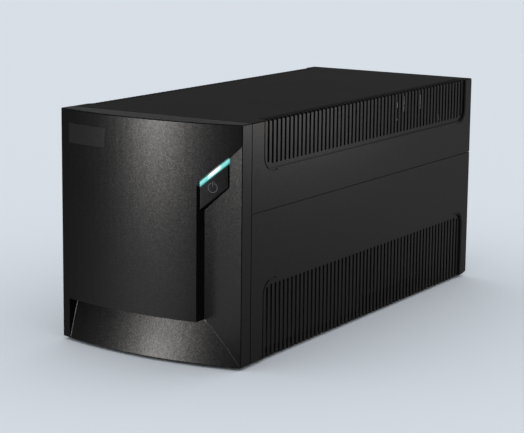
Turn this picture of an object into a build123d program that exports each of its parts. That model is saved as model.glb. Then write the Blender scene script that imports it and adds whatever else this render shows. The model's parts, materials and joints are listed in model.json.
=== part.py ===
from build123d import *
import math
import os

# Uninterruptible power supply: a wide plastic case of two clamshell halves behind a bowed front bezel,
# with a slanted power key and light bar, comb vents along both sides, and a panel of sockets at the back.
# Inside are two sealed batteries under a steel bracket, the power board above them, and the mains
# transformer behind them.
#
# Millimetres. +Z is up, the front faces -Y and the right side, seen from the front, is +X.
# The origin is on the floor under the middle of the case.

# ---------------------------------------------------------------- driving dimensions

# Case
case_width = 149.0
case_length = 353.0  # nose of the bezel to the rear rim
case_height = 162.0  # without the feet
wall = 2.5
edge_radius = 1.2  # outer edges of the case
parting_height = 101.5  # joint of the two halves, above the underside
parting_gap = 0.5  # reveal line between the halves
tongue_thickness = 1.1  # inner lip of the lower half, behind that line
tongue_height = 2.5
fit_gap = 0.2  # between pieces that slide together

# Bezel
front_crown = 10.3  # how far the face bows forward of its two side edges
skirt_depth = 12.0  # side wall of the bezel, from its front corner to the seam
seam_gap = 0.8  # reveal line between bezel and halves
lip_thickness = 1.8  # inner lip that enters the two halves
lip_length = 6.0
bezel_edge = 0.6  # chamfer of the bezel's outer edges
recess_depth = 9.8  # from the raised panel to the foot of its walls
notch_side = 67.0  # left end of the sloped foot, from the middle
slope_height = 28.5
panel_side = 43.4  # right edge of the raised panel, from the middle
cluster_side = 64.2  # right edge of the power key and light bar
slant = 40.0  # degrees, every slanted edge of the cluster
slant_high = 139.6  # upper slanted edge at the right side of the cluster, above the underside
cluster_height = 19.4  # key and light bar together, measured upright
collar_wall = 1.5

# Power key and light bar
key_set_back = 2.3  # face of the key behind the face of the panel
key_gap = 0.4
key_side_gap = 1.0
key_travel = 1.0
key_flange = 1.5
bar_height = 3.7  # light bar, measured upright
bar_set_back = 2.1

# Comb vents
vent_front = -138.0  # ends of the shallow recess that frames each comb
vent_back = 164.7
vent_corner = 9.0
vent_recess = 1.3
upper_vent_foot = 129.0  # lower edge of the upper recess, above the underside
lower_vent_head = 53.0
slot_width = 2.5
slot_pitch = 5.4
slot_margin = 3.1  # from the recess edge to the slot ends
top_reach = 8.5  # how far the slots run in over the top
under_reach = 2.5  # and over the underside

# Feet
foot_height = 2.0
foot_size = (16.0, 26.0)
foot_corner = 3.0
foot_inset_x = 24.0
foot_front_inset = 34.0  # centres from the seam and from the rear edge
foot_rear_inset = 21.5

# Rear panel
tail_length = 8.0  # slope under the rear edge of the case
tail_rise = 2.0
rear_recess = 6.0  # panel face behind the rear rim
panel_thickness = 2.0
panel_gap = 0.3
groove_rib = 1.5
groove_depth = 2.5

# Screw posts that hold the halves together
post_radius = 3.5
boss_radius = 5.0
boss_height = 16.0  # joint of boss and post, above the floor
post_x = 57.0
post_front = -142.0
post_rear = 138.0
screw_shank = 1.5
screw_bite = 8.0  # thread in the plastic
screw_head = 3.0
head_height = 2.0
pilot_gap = 0.1
pad_height = 4.0  # low pads that the brackets are screwed to
pad_radius = 4.0

# Small board behind the cluster
cluster_board_gap = 9.0  # front of the board behind the foot of the collar
board_thickness = 1.6
cluster_post_inset = 5.9  # bosses beside the cluster's pocket, from the edge of the raised panel
cluster_post_pitch = 36.0
cluster_post_right = 3.2  # third boss, from the cluster's right side
cluster_board_margin = 4.0  # from the bosses to the board's edges
cluster_board_height = 50.0
cluster_post_radius = 2.5
cluster_screw = 1.0
cluster_screw_head = 2.2
cluster_screw_hold = 3.0
switch_size = 6.0
switch_body = 3.5
switch_plunger = 1.5
led_size = 3.0
led_depth = 2.0
led_inset = 3.0  # from the ends of the light bar
ribbon_x = 42.0
ribbon_width = 12.0
ribbon_thickness = 1.0
ribbon_plug_height = 120.0
ribbon_plug = (14.0, 5.0)
ribbon_plug_depth = 5.0
ribbon_bend = 5.0
ribbon_slack = 17.0  # straight out of the plug on the small board

# Batteries, 12 V 9 Ah each
battery_width = 65.0
battery_length = 151.0
battery_height = 94.0
battery_lid = 6.0
battery_split = 1.0  # gap between the two
battery_front = -134.0
battery_corner = 1.5
battery_lid_step = 0.5
battery_lid_edge = 1.0
terminal_height = 6.3
terminal_width = 6.3
terminal_thickness = 0.8
terminal_inset = 9.0  # from the battery's end
terminal_spread = 50.0  # between the two terminals of a battery

# Steel bracket over the batteries, and the power board on it
bracket_width = 90.0
sheet = 1.2
bracket_flange = 11.0
bracket_screw_x = 30.0
spacer_height = 10.0
spacer_radius = 3.0
spacer_tip = 1.5  # radius of the peg that snaps through the board
spacer_tip_height = 4.0
spacer_x = 38.0
spacer_ys = (-93.0, -45.0, 16.0)
board_width = 120.0
board_front = -116.0
board_back = 24.0
sink_length = 46.0
sink_height = 38.0
sink_y = -15.0
sink_x = 26.0  # inner face of each heat sink
sink_base = 4.0
fin_reach = 24.0
fin_thickness = 1.6
fin_count = 6
transistor_width = 10.0
transistor_height = 15.5
transistor_depth = 4.5
transistor_pitch = 15.0
capacitor_radius = 9.0
capacitor_height = 32.0
capacitor_pitch = 21.0
capacitor_y = -13.0
relay_size = (15.0, 19.0, 15.5)
relay_pitch = 24.0
relay_y = -100.0
choke_place = (42.0, -74.0)
choke_radius = 13.0
choke_bore = 6.5
choke_height = 12.0
buzzer_place = (-42.0, -74.0)
buzzer_radius = 7.0
buzzer_height = 8.0
chip_place = (0.0, -75.0)
chip_size = (14.0, 14.0, 1.6)
fuse_y = -58.0
fuse_x = 15.0
fuse_size = (19.0, 5.0, 12.0)
block_x = 55.0  # terminal blocks for the battery leads
block_y = -106.0
block_size = (9.0, 9.0, 7.0)
lead_radius = 1.9
lead_rise = 15.0  # top of the leads above the board
lead_bend = 6.0
link_rise = 8.0  # top of the battery link above the terminals

# Mains transformer
core_width = 114.0
core_height = 95.0
core_depth = 60.0
core_leg = 38.0
core_front = 52.0
former_wall = 1.5
winding_depth = 16.0
winding_gap = 1.0  # winding inside the rims of its former
winding_corner = 5.0
strap_thickness = 1.5
strap_width = 15.0
strap_foot = 13.0
strap_inset = 1.0

# Sockets and inlet
socket_columns = (-42.0, 0.0, 42.0)
socket_rows = (34.0, 64.0)  # above the underside
socket_face = (34.0, 26.0)
socket_face_thickness = 1.6
socket_body = (30.6, 22.6)
socket_body_depth = 26.0
socket_opening = (28.4, 20.6)
socket_boss = (23.8, 16.2)
socket_depth = 17.0
connector_corner = 5.0
pin_spread = 7.0
pin_offset = 2.0
pin_width = 2.0
pin_height = 4.0
pin_gap = 0.6  # round a plug's pin
pin_tail = 6.0  # solder tag behind the body
inlet_x = -40.0
inlet_height = 99.0
inlet_flange = (50.0, 23.0)
inlet_flange_thickness = 2.0
inlet_flange_corner = 4.0
inlet_body = (27.4, 19.8)
inlet_body_depth = 22.0
inlet_cavity = (24.6, 17.2)
inlet_cavity_depth = 17.5
inlet_screws = 40.0

# Circuit breaker
breaker_x = -57.0
breaker_height = 130.0
breaker_body_size = (17.0, 14.0)
breaker_depth = 24.0
breaker_neck = 6.0
breaker_neck_length = 3.6
breaker_nut_size = 8.5
breaker_nut_thickness = 2.4
breaker_bore = 4.0
breaker_bore_depth = 10.8
breaker_pin_radius = 3.7
breaker_pin_length = 11.0
breaker_pin_stand = 1.6  # pin end beyond the neck while it is in
breaker_travel = 3.5

# Data ports on their board
port_board_height = 122.0
port_board_left = -44.0
port_board_right = 2.0
port_board_depth = 26.0
usb_x = -36.0
usb_size = (12.0, 11.0)
usb_wall = 0.6
usb_mouth = (8.6, 8.0)
usb_tongue = (5.6, 3.2)
usb_depth = 16.0
usb_mouth_depth = 12.0
jack_x = -13.5
jack_block = (28.0, 13.5)
jack_pitch = 14.0
jack_mouth = (11.8, 7.0)
jack_latch = (4.2, 1.9)
jack_depth = 17.0
jack_mouth_depth = 14.0
port_stand = 0.6  # ports beyond the panel

# Fan
fan_x = 34.0
fan_height = 122.0
fan_size = 60.0
fan_depth = 20.0
fan_bore = 28.0
fan_hub = 13.0
fan_holes = 50.0
fan_plate = 2.0
fan_strut = 3.0
fan_corner = 3.0
fan_gap = 0.8  # rotor to frame, front and back
fan_blades = 7
blade_radius = 26.6
blade_chord = 13.0
blade_thickness = 1.4
blade_pitch = 38.0
grille_radius = 27.0
grille_slot = 3.4
grille_pitch = 6.2

os.makedirs("parts", exist_ok=True)

# ---------------------------------------------------------------- places that follow from them

half_width = case_width / 2
z_base = foot_height
z_top = z_base + case_height
z_part = z_base + parting_height
z_floor = z_base + wall
y_nose = -case_length / 2
y_rear = case_length / 2
y_corner = y_nose + front_crown
y_seam = y_corner + skirt_depth
y_skirt = y_seam - seam_gap
y_lip = y_seam + lip_length
crown_radius = (half_width**2 + front_crown**2) / (2 * front_crown)
rise = math.tan(math.radians(slant))
cluster_posts = (
    (panel_side - cluster_post_inset, slant_high - cluster_post_pitch),
    (panel_side - cluster_post_inset, slant_high),
    (cluster_side - cluster_post_right, slant_high - cluster_post_pitch),
)
cluster_board_left = panel_side - cluster_post_inset - cluster_board_margin
cluster_board_right = cluster_side - cluster_post_right + cluster_board_margin
cluster_board_high = slant_high + cluster_board_margin
cluster_board_low = cluster_board_high - cluster_board_height
y_panel = y_rear - rear_recess  # outer face of the rear panel
y_panel_back = y_panel - panel_thickness
slant_low = slant_high - cluster_height - (cluster_side - panel_side) * rise
z_joint = z_floor + boss_height
z_pad = z_floor + pad_height
post_places = tuple((x, y) for x in (-post_x, post_x) for y in (post_front, post_rear))
foot_places = tuple(
    (x, y)
    for x in (foot_inset_x - half_width, half_width - foot_inset_x)
    for y in (y_seam + foot_front_inset, y_rear - foot_rear_inset)
)


def across(y):
    """The upright plane across the case at y, drawn as seen from the front: local X is X, local Y is Z."""
    return Plane.XZ.offset(-y)


def crown_y(x, inset=0.0):
    """Y of the bowed face at x, or of a face that lies `inset` behind it."""
    return y_nose + crown_radius - math.sqrt((crown_radius - inset) ** 2 - x**2)


def slant_line(x, z_at, x_at):
    """Height at x of a slanted edge that is z_at above the underside at x_at."""
    return z_base + z_at + (x - x_at) * rise


def save(builder, name):
    """Labels a finished piece and writes it to its own file."""
    builder.part.label = name
    export_step(builder.part, f"parts/{name}.step")


# ---------------------------------------------------------------- bezel


def crowned_plan(half, inset, y_back):
    """Plan outline with the bowed front, inset behind the nose, and straight sides back to y_back."""
    y_side = crown_y(half, inset)
    with BuildSketch() as plan:
        with BuildLine():
            ThreePointArc((-half, y_side), (0, y_nose + inset), (half, y_side))
            Polyline((half, y_side), (half, y_back), (-half, y_back), (-half, y_side))
        make_face()
    return plan.sketch


def fascia_recess(grow):
    """The hollow beside and under the raised panel: a flat strip that deepens towards the panel, and a
    bowed foot that slopes in from the bottom edge. They meet in a mitred valley."""
    outline = [
        (-notch_side, z_base - wall),
        (half_width + wall, z_base - wall),
        (half_width + wall, slant_line(half_width + wall, slant_high, cluster_side)),
        (cluster_side, slant_line(cluster_side, slant_high, cluster_side)),
        (cluster_side, slant_line(cluster_side, slant_low, panel_side)),
        (panel_side, slant_line(panel_side, slant_low, panel_side)),
        (panel_side, z_base + slope_height),
        (-notch_side, z_base + slope_height),
    ]
    strip_run = Vector(half_width - panel_side, y_corner - crown_y(panel_side) - recess_depth)
    strip_normal = Vector(-strip_run.Y, strip_run.X).normalized()
    strip_origin = Vector(half_width, y_corner) + strip_normal * grow
    lean = recess_depth / slope_height
    overlap = 2 * wall
    with BuildPart() as void:
        with BuildSketch(across(y_nose - wall)):
            with BuildLine():
                Polyline(*outline, close=True)
            make_face()
            if grow:
                offset(amount=grow, kind=Kind.INTERSECTION)
        extrude(amount=-(y_seam - y_nose))
        split(bisect_by=Plane(origin=strip_origin, z_dir=strip_normal), keep=Keep.BOTTOM)
        with BuildSketch(Plane.XY.offset(z_base - overlap)) as behind_slope:
            with Locations((0, grow - lean * overlap)):
                add(crowned_plan(half_width + overlap, 0, y_seam + overlap))
        climb = slope_height + 2 * overlap
        extrude(
            behind_slope.sketch,
            amount=math.hypot(climb, climb * lean),
            dir=(0, lean, 1),
            mode=Mode.SUBTRACT,
        )
    return void.part


def cluster_outline(left, right, low, high):
    """A slanted four-sided outline between x=left and x=right, and between two heights above the lines of
    the cluster's lower and upper edges."""
    lower = (slant_line(x, slant_low, panel_side) + low for x in (left, right))
    upper = (slant_line(x, slant_high, cluster_side) + high for x in (right, left))
    with BuildSketch() as shape:
        with BuildLine():
            Polyline(*zip((left, right, right, left), (*lower, *upper)), close=True)
        make_face()
    return shape.sketch


def inner_face_y(x):
    """Y of the inside of the face at x: behind the raised panel, or behind the strip beside it."""
    if x < panel_side:
        return crown_y(x, wall)
    depth = crown_y(panel_side) + recess_depth - y_corner
    return y_corner + depth * (half_width - x) / (half_width - panel_side) + wall


pocket = cluster_outline(panel_side, cluster_side, 0, 0)
y_collar = crown_y(panel_side) + recess_depth + wall
y_cluster_board = y_collar + cluster_board_gap

with BuildPart() as bezel_hollow:
    with BuildSketch(Plane.XY.offset(z_base + wall)):
        add(crowned_plan(half_width - wall, wall, y_skirt))
    extrude(amount=case_height - 2 * wall)
    add(fascia_recess(wall), mode=Mode.SUBTRACT)

with BuildPart() as collar:
    with BuildSketch(across(y_collar)):
        add(pocket)
        offset(amount=collar_wall, kind=Kind.INTERSECTION)
    extrude(amount=y_collar - y_nose)
    with BuildSketch(Plane.XY.offset(z_base)):
        add(crowned_plan(half_width - bezel_edge, bezel_edge, y_seam))
    extrude(amount=case_height, mode=Mode.INTERSECT)

with BuildPart() as front_bezel:
    with BuildSketch(Plane.XY.offset(z_base)):
        add(crowned_plan(half_width, 0, y_skirt))
    extrude(amount=case_height)
    chamfer(front_bezel.edges().filter_by(lambda e: e.center().Y < y_skirt - 0.1), bezel_edge)
    add(bezel_hollow.part, mode=Mode.SUBTRACT)
    add(collar.part)
    lip_outer = wall + fit_gap
    lip_inner = lip_outer + lip_thickness
    for start, end, outer in ((y_skirt - 3, y_skirt, wall / 2), (y_skirt, y_lip, lip_outer)):
        with BuildSketch(across(end)):
            with Locations((0, z_base + case_height / 2)):
                Rectangle(case_width - 2 * outer, case_height - 2 * outer)
                Rectangle(case_width - 2 * lip_inner, case_height - 2 * lip_inner, mode=Mode.SUBTRACT)
        extrude(amount=end - start)
    add(fascia_recess(0), mode=Mode.SUBTRACT)
    with BuildSketch(across(y_lip)):
        add(pocket)
    extrude(amount=y_lip - y_nose + wall, mode=Mode.SUBTRACT)
    for x, z in cluster_posts:
        with BuildSketch(across(y_cluster_board)):
            with Locations((x, z_base + z)):
                RegularPolygon(cluster_post_radius, 8)
        extrude(amount=y_cluster_board - inner_face_y(x) + wall / 2)
    with BuildSketch(across(y_cluster_board)):
        with Locations(*[(x, z_base + z) for x, z in cluster_posts]):
            RegularPolygon(cluster_screw + 2 * pilot_gap, 12)
    extrude(amount=cluster_screw_hold + wall, mode=Mode.SUBTRACT)
save(front_bezel, "front_bezel")


# ---------------------------------------------------------------- power key, light bar and their board

key_clear = key_gap / math.cos(math.radians(slant))
y_flange = y_collar + fit_gap
y_cluster_back = y_cluster_board + board_thickness
y_plunger = y_cluster_board - switch_body - switch_plunger


def face_block(inset):
    """Everything inside the case's outline that lies at least `inset` behind the bowed face."""
    with BuildPart() as block:
        with BuildSketch(Plane.XY.offset(z_base)):
            add(crowned_plan(half_width, inset, y_seam + wall))
        extrude(amount=case_height)
    return block.part


def cluster_middle(x, share):
    """Height at x that lies `share` of the way up the cluster's pocket."""
    return slant_line(x, slant_low, panel_side) + share * cluster_height


key_left = panel_side + key_side_gap
key_right = cluster_side - key_gap
key_middle = (key_left + key_right) / 2
key_centre = cluster_middle(key_middle, (cluster_height - bar_height) / 2 / cluster_height)

with BuildPart() as power_button:
    with BuildSketch(across(y_flange)):
        add(cluster_outline(key_left, key_right, key_clear, -bar_height - key_clear))
    extrude(amount=y_flange - y_nose)
    add(face_block(key_set_back), mode=Mode.INTERSECT)
    with BuildSketch(across(y_flange + key_flange)):
        flange_top = -bar_height - key_clear
        add(cluster_outline(key_left - key_flange, key_right + key_flange, -key_flange, flange_top))
    extrude(amount=key_flange)
    with BuildSketch(across(y_plunger - key_travel - fit_gap)):
        with Locations((key_middle, key_centre)):
            RegularPolygon(switch_plunger, 8)
    extrude(amount=y_plunger - key_travel - fit_gap - y_flange)
save(power_button, "power_button")

with BuildPart() as light_bar:
    y_bar_back = y_cluster_board - led_depth - fit_gap
    with BuildSketch(across(y_bar_back)):
        add(cluster_outline(key_left, cluster_side - fit_gap, cluster_height - bar_height, -fit_gap))
    extrude(amount=y_bar_back - y_nose)
    add(face_block(bar_set_back), mode=Mode.INTERSECT)
save(light_bar, "light_bar")

with BuildPart() as front_board:
    with BuildSketch(across(y_cluster_back)):
        with Locations(
            (
                (cluster_board_left + cluster_board_right) / 2,
                z_base + (cluster_board_low + cluster_board_high) / 2,
            )
        ):
            Rectangle(cluster_board_right - cluster_board_left, cluster_board_high - cluster_board_low)
        with Locations(*[(x, z_base + z) for x, z in cluster_posts]):
            RegularPolygon(cluster_screw + 2 * pilot_gap, 12, mode=Mode.SUBTRACT)
    extrude(amount=board_thickness)
save(front_board, "front_board")

with BuildPart() as tact_switch:
    with BuildSketch(across(y_cluster_board)):
        with Locations((key_middle, key_centre)):
            Rectangle(switch_size, switch_size)
    extrude(amount=switch_body)
    with BuildSketch(across(y_cluster_board - switch_body)):
        with Locations((key_middle, key_centre)):
            RegularPolygon(switch_plunger, 8)
    extrude(amount=switch_plunger)
save(tact_switch, "tact_switch")

with BuildPart() as status_leds:
    bar_share = 1 - bar_height / 2 / cluster_height
    with BuildSketch(across(y_cluster_board)):
        led_xs = (key_left + led_inset, key_middle, key_right - led_inset)
        with Locations(*[(x, cluster_middle(x, bar_share)) for x in led_xs]):
            Rectangle(led_size, led_size)
    extrude(amount=led_depth)
save(status_leds, "status_leds")


# ---------------------------------------------------------------- fasteners


def hole_set(places, z, depth):
    """Clearance for upright screw shanks, over `depth` up from height z."""
    with BuildPart() as holes:
        with BuildSketch(Plane.XY.offset(z)):
            with Locations(*places):
                RegularPolygon(screw_shank + pilot_gap, 6)
        extrude(amount=depth)
    return holes.part


def screw_set(places, head, shank_length, shank=screw_shank):
    """Separate screws. Each place is the point under the head and the direction that the head faces."""
    with BuildPart() as screws:
        for origin, direction in places:
            seat = Plane(origin=origin, x_dir=(1, 0, 0), z_dir=direction)
            with BuildSketch(seat):
                RegularPolygon(head, 6)
            extrude(amount=head_height)
            with BuildSketch(seat):
                RegularPolygon(shank, 6)
            extrude(amount=-shank_length)
    return screws


front_board_screws = screw_set(
    [((x, y_cluster_back, z_base + z), (0, 1, 0)) for x, z in cluster_posts],
    cluster_screw_head,
    board_thickness + cluster_screw_hold,
    cluster_screw,
)
save(front_board_screws, "front_board_screws")

# ---------------------------------------------------------------- comb vents

vent_middle = (vent_front + vent_back) / 2
slot_count = int((vent_back - vent_front - 2 * slot_margin - slot_width) / slot_pitch) + 1
slot_ys = [vent_middle + (i - (slot_count - 1) / 2) * slot_pitch for i in range(slot_count)]


def vent_recesses(closed, edge, up):
    """The shallow recesses that frame a pair of combs. They start at height `closed` on both sides of the
    case and run out over the edge at height `edge`, upwards for up=1 and downwards for up=-1."""
    beyond = edge + up * wall
    with BuildPart() as recess:
        with BuildSketch(Plane.YZ.offset(half_width - vent_recess)) as side:
            with Locations((vent_middle, (closed + beyond) / 2)):
                Rectangle(vent_back - vent_front, abs(beyond - closed))
            fillet(side.vertices().group_by(Axis.Y)[0 if up > 0 else -1], vent_corner)
        extrude(amount=wall)
        mirror(about=Plane.YZ)
    return recess.part


def vent_slots(closed, edge, up, reach):
    """The slots of a pair of combs, shorter where they follow the rounded corners of their recess."""
    beyond = edge + up * wall
    with BuildPart() as slots:
        with BuildSketch(Plane.YZ.offset(half_width - reach)):
            for y in slot_ys:
                from_end = min(y - vent_front, vent_back - y) - slot_width / 2
                into_corner = max(vent_corner - from_end, 0)
                lift = vent_corner - math.sqrt(vent_corner**2 - into_corner**2)
                end = closed + up * (slot_margin + lift)
                with Locations((y, (end + beyond) / 2)):
                    Rectangle(slot_width, abs(beyond - end))
        extrude(amount=reach + wall)
        mirror(about=Plane.YZ)
    return slots.part


# ---------------------------------------------------------------- the two halves


def half_box(low, high, side_gap, start, end):
    """A block across the case from height low to high, side_gap inside its sides, from y=start to end."""
    with BuildPart() as block:
        with BuildSketch(across(end)):
            with Locations((0, (low + high) / 2)):
                Rectangle(case_width - 2 * side_gap, high - low)
        extrude(amount=end - start)
    return block.part


def panel_grooves(low, high, open_low, open_high):
    """The two ribs each side of the rear panel's edge, on the inside of one half."""
    with BuildPart() as ribs:
        for end in (y_panel_back - panel_gap, y_panel + panel_gap + groove_rib):
            add(half_box(low, high, wall, end - groove_rib, end))
        start = y_panel_back - panel_gap - groove_rib
        add(half_box(open_low, open_high, wall + groove_depth, start, y_rear), mode=Mode.SUBTRACT)
    return ribs.part


z_cover = z_part + parting_gap
z_ceiling = z_top - wall

with BuildPart() as upper_cover:
    add(half_box(z_cover, z_top, 0, y_seam, y_rear))
    fillet(upper_cover.edges().filter_by(Axis.Y).group_by(Axis.Z)[-1], edge_radius)
    add(half_box(z_part, z_ceiling, wall, y_seam, y_rear), mode=Mode.SUBTRACT)
    rebate = wall - tongue_thickness - fit_gap
    add(half_box(z_part, z_part + tongue_height + fit_gap, rebate, y_seam, y_rear), mode=Mode.SUBTRACT)
    add(vent_recesses(z_base + upper_vent_foot, z_top, 1), mode=Mode.SUBTRACT)
    add(vent_slots(z_base + upper_vent_foot, z_top, 1, top_reach), mode=Mode.SUBTRACT)
    add(panel_grooves(z_cover, z_ceiling, z_part, z_ceiling - groove_depth))
    with BuildSketch(Plane.XY.offset(z_joint)):
        with Locations(*post_places):
            RegularPolygon(post_radius, 8)
            RegularPolygon(screw_shank + pilot_gap, 6, mode=Mode.SUBTRACT)
    extrude(amount=z_ceiling - z_joint)
save(upper_cover, "upper_cover")

batteries_back = battery_front + battery_length
bracket_front = battery_front - fit_gap - sheet
bracket_back = batteries_back + fit_gap + sheet
bracket_pads = tuple(
    (x, y)
    for x in (-bracket_screw_x, bracket_screw_x)
    for y in (bracket_front - bracket_flange / 2, bracket_back + bracket_flange / 2)
)
core_back = core_front + core_depth
strap_x = (core_width - strap_width) / 2 - strap_inset
strap_pads = tuple(
    (x, y)
    for x in (-strap_x, strap_x)
    for y in (
        core_front - fit_gap - strap_thickness - strap_foot / 2,
        core_back + fit_gap + strap_thickness + strap_foot / 2,
    )
)

with BuildPart() as lower_base:
    add(half_box(z_base, z_part, 0, y_seam, y_rear))
    fillet(lower_base.edges().filter_by(Axis.Y).group_by(Axis.Z)[0], edge_radius)
    add(half_box(z_floor, z_part, wall, y_seam, y_rear), mode=Mode.SUBTRACT)
    add(vent_recesses(z_base + lower_vent_head, z_base, -1), mode=Mode.SUBTRACT)
    add(vent_slots(z_base + lower_vent_head, z_base, -1, under_reach), mode=Mode.SUBTRACT)
    for side in (-1, 1):
        with BuildSketch(Plane.XY.offset(z_part - tongue_height)):
            with Locations((side * (half_width - wall + tongue_thickness / 2), (y_seam + y_rear) / 2)):
                Rectangle(tongue_thickness, y_rear - y_seam)
        extrude(amount=2 * tongue_height)
    add(panel_grooves(z_floor, z_part, z_floor + groove_depth, z_part))
    with BuildSketch(Plane.XY.offset(z_floor)):
        with Locations(*post_places):
            RegularPolygon(boss_radius, 8)
    extrude(amount=boss_height)
    with BuildSketch(Plane.XY.offset(z_floor)):
        with Locations(*bracket_pads, *strap_pads):
            RegularPolygon(pad_radius, 8)
        for y in (core_front + core_depth / 4, core_back - core_depth / 4):
            with Locations((0, y)):
                Rectangle(core_width - core_leg, 2 * pad_height)
    extrude(amount=pad_height)
    add(hole_set(bracket_pads + strap_pads, z_floor, pad_height), mode=Mode.SUBTRACT)
    with BuildSketch(Plane.YZ.offset(-half_width)):
        with BuildLine():
            Polyline(
                (y_rear - tail_length, z_base),
                (y_rear, z_base + tail_rise),
                (y_rear, z_base - tail_rise),
                (y_rear - tail_length, z_base - tail_rise),
                close=True,
            )
        make_face()
    extrude(amount=case_width, mode=Mode.SUBTRACT)
    head_depth = z_joint - 2 * pad_height
    with BuildSketch(Plane.XY.offset(z_base)):
        with Locations(*post_places):
            RegularPolygon(screw_head + 2 * fit_gap, 8)
    extrude(amount=head_depth - z_base, mode=Mode.SUBTRACT)
    with BuildSketch(Plane.XY.offset(z_base)):
        with Locations(*post_places):
            RegularPolygon(screw_shank + pilot_gap, 6)
    extrude(amount=z_joint - z_base, mode=Mode.SUBTRACT)
save(lower_base, "lower_base")

with BuildPart() as rubber_feet:
    with BuildSketch() as feet:
        with Locations(*foot_places):
            Rectangle(*foot_size)
        chamfer(feet.vertices(), foot_corner)
    extrude(amount=foot_height)
save(rubber_feet, "rubber_feet")

case_screws = screw_set(
    [((x, y, head_depth), (0, 0, -1)) for x, y in post_places], screw_head, z_joint - head_depth + screw_bite
)
save(case_screws, "case_screws")

# ---------------------------------------------------------------- batteries

battery_x = (battery_width + battery_split) / 2
battery_middle = battery_front + battery_length / 2
z_lid = z_floor + battery_height
terminal_y = battery_front + terminal_inset
terminal_inner = battery_x - terminal_spread / 2
terminal_outer = battery_x + terminal_spread / 2

for number, x in ((1, -battery_x), (2, battery_x)):
    with BuildPart() as battery_case:
        with BuildSketch(Plane.XY.offset(z_floor)):
            with Locations((x, battery_middle)):
                Rectangle(battery_width, battery_length)
        extrude(amount=battery_height - battery_lid)
        chamfer(battery_case.edges().filter_by(Axis.Z), battery_corner)
    save(battery_case, f"battery_case_{number}")
    with BuildPart() as lid:
        with BuildSketch(Plane.XY.offset(z_lid - battery_lid)):
            with Locations((x, battery_middle)):
                Rectangle(battery_width - 2 * battery_lid_step, battery_length - 2 * battery_lid_step)
        extrude(amount=battery_lid)
        chamfer(lid.faces().sort_by(Axis.Z)[-1].edges(), battery_lid_edge)
    save(lid, f"battery_lid_{number}")

with BuildPart() as battery_terminals:
    with BuildSketch(Plane.XY.offset(z_lid)):
        with Locations(*[(s * x, terminal_y) for x in (terminal_inner, terminal_outer) for s in (-1, 1)]):
            Rectangle(terminal_width, terminal_thickness)
    extrude(amount=terminal_height)
save(battery_terminals, "battery_terminals")

z_strap = z_lid + fit_gap
z_spacer = z_strap + sheet
z_board = z_spacer + spacer_height
z_parts = z_board + board_thickness
spacer_places = tuple((x, y) for x in (-spacer_x, spacer_x) for y in spacer_ys)
window = 2 * terminal_inner + 3 * terminal_width

with BuildPart() as battery_bracket:
    with BuildSketch(Plane.YZ.offset(-bracket_width / 2)):
        with BuildLine():
            Polyline(
                (bracket_front - bracket_flange, z_pad),
                (bracket_front + sheet, z_pad),
                (bracket_front + sheet, z_strap),
                (bracket_back - sheet, z_strap),
                (bracket_back - sheet, z_pad),
                (bracket_back + bracket_flange, z_pad),
                (bracket_back + bracket_flange, z_pad + sheet),
                (bracket_back, z_pad + sheet),
                (bracket_back, z_spacer),
                (bracket_front, z_spacer),
                (bracket_front, z_pad + sheet),
                (bracket_front - bracket_flange, z_pad + sheet),
                close=True,
            )
        make_face()
    extrude(amount=bracket_width)
    with BuildSketch(Plane.XY.offset(z_strap)):
        with Locations((0, terminal_y)):
            Rectangle(window, 2 * terminal_width)
        with Locations((0, battery_middle + 2 * terminal_inset)):
            Rectangle(window, battery_length / 2)
    extrude(amount=sheet, mode=Mode.SUBTRACT)
    add(hole_set(bracket_pads, z_pad, sheet), mode=Mode.SUBTRACT)
save(battery_bracket, "battery_bracket")


# ---------------------------------------------------------------- power board

with BuildPart() as board_spacers:
    with BuildSketch(Plane.XY.offset(z_spacer)):
        with Locations(*spacer_places):
            RegularPolygon(spacer_radius, 6)
    extrude(amount=spacer_height)
    with BuildSketch(Plane.XY.offset(z_board)):
        with Locations(*spacer_places):
            RegularPolygon(spacer_tip, 6)
    extrude(amount=spacer_tip_height)
save(board_spacers, "board_spacers")

with BuildPart() as power_board:
    with BuildSketch(Plane.XY.offset(z_board)):
        with Locations((0, (board_front + board_back) / 2)):
            Rectangle(board_width, board_back - board_front)
    extrude(amount=board_thickness)
    add(hole_set(spacer_places, z_board, board_thickness), mode=Mode.SUBTRACT)
save(power_board, "power_board")


def on_board(places, width, length, height):
    """Blocks that stand on the power board at the given places."""
    with BuildPart() as blocks:
        with BuildSketch(Plane.XY.offset(z_parts)):
            with Locations(*places):
                Rectangle(width, length)
        extrude(amount=height)
    return blocks


for number, side in ((1, -1), (2, 1)):
    with BuildPart() as heat_sink:
        with BuildSketch(Plane.XY.offset(z_parts)):
            with Locations((side * (sink_x + sink_base / 2), sink_y)):
                Rectangle(sink_base, sink_length)
            pitch = (sink_length - fin_thickness) / (fin_count - 1)
            with Locations((side * (sink_x + (sink_base + fin_reach) / 2), sink_y)):
                with GridLocations(0, pitch, 1, fin_count):
                    Rectangle(sink_base + fin_reach, fin_thickness)
        extrude(amount=sink_height)
    save(heat_sink, f"heat_sink_{number}")

transistor_x = sink_x - transistor_depth / 2
transistor_places = [
    (side * transistor_x, sink_y + i * transistor_pitch) for side in (-1, 1) for i in (-1, 0, 1)
]
save(on_board(transistor_places, transistor_depth, transistor_width, transistor_height), "transistors")

with BuildPart() as capacitors:
    with BuildSketch(Plane.XY.offset(z_parts)):
        with Locations((0, capacitor_y)):
            with GridLocations(0, capacitor_pitch, 1, 3):
                RegularPolygon(capacitor_radius, 16)
    extrude(amount=capacitor_height)
save(capacitors, "capacitors")

relay_places = [(i * relay_pitch, relay_y) for i in (-1, 0, 1)]
save(on_board(relay_places, *relay_size), "relays")

with BuildPart() as filter_choke:
    with BuildSketch(Plane.XY.offset(z_parts)):
        with Locations(choke_place):
            RegularPolygon(choke_radius, 12)
            RegularPolygon(choke_bore, 12, mode=Mode.SUBTRACT)
    extrude(amount=choke_height)
save(filter_choke, "filter_choke")

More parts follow.
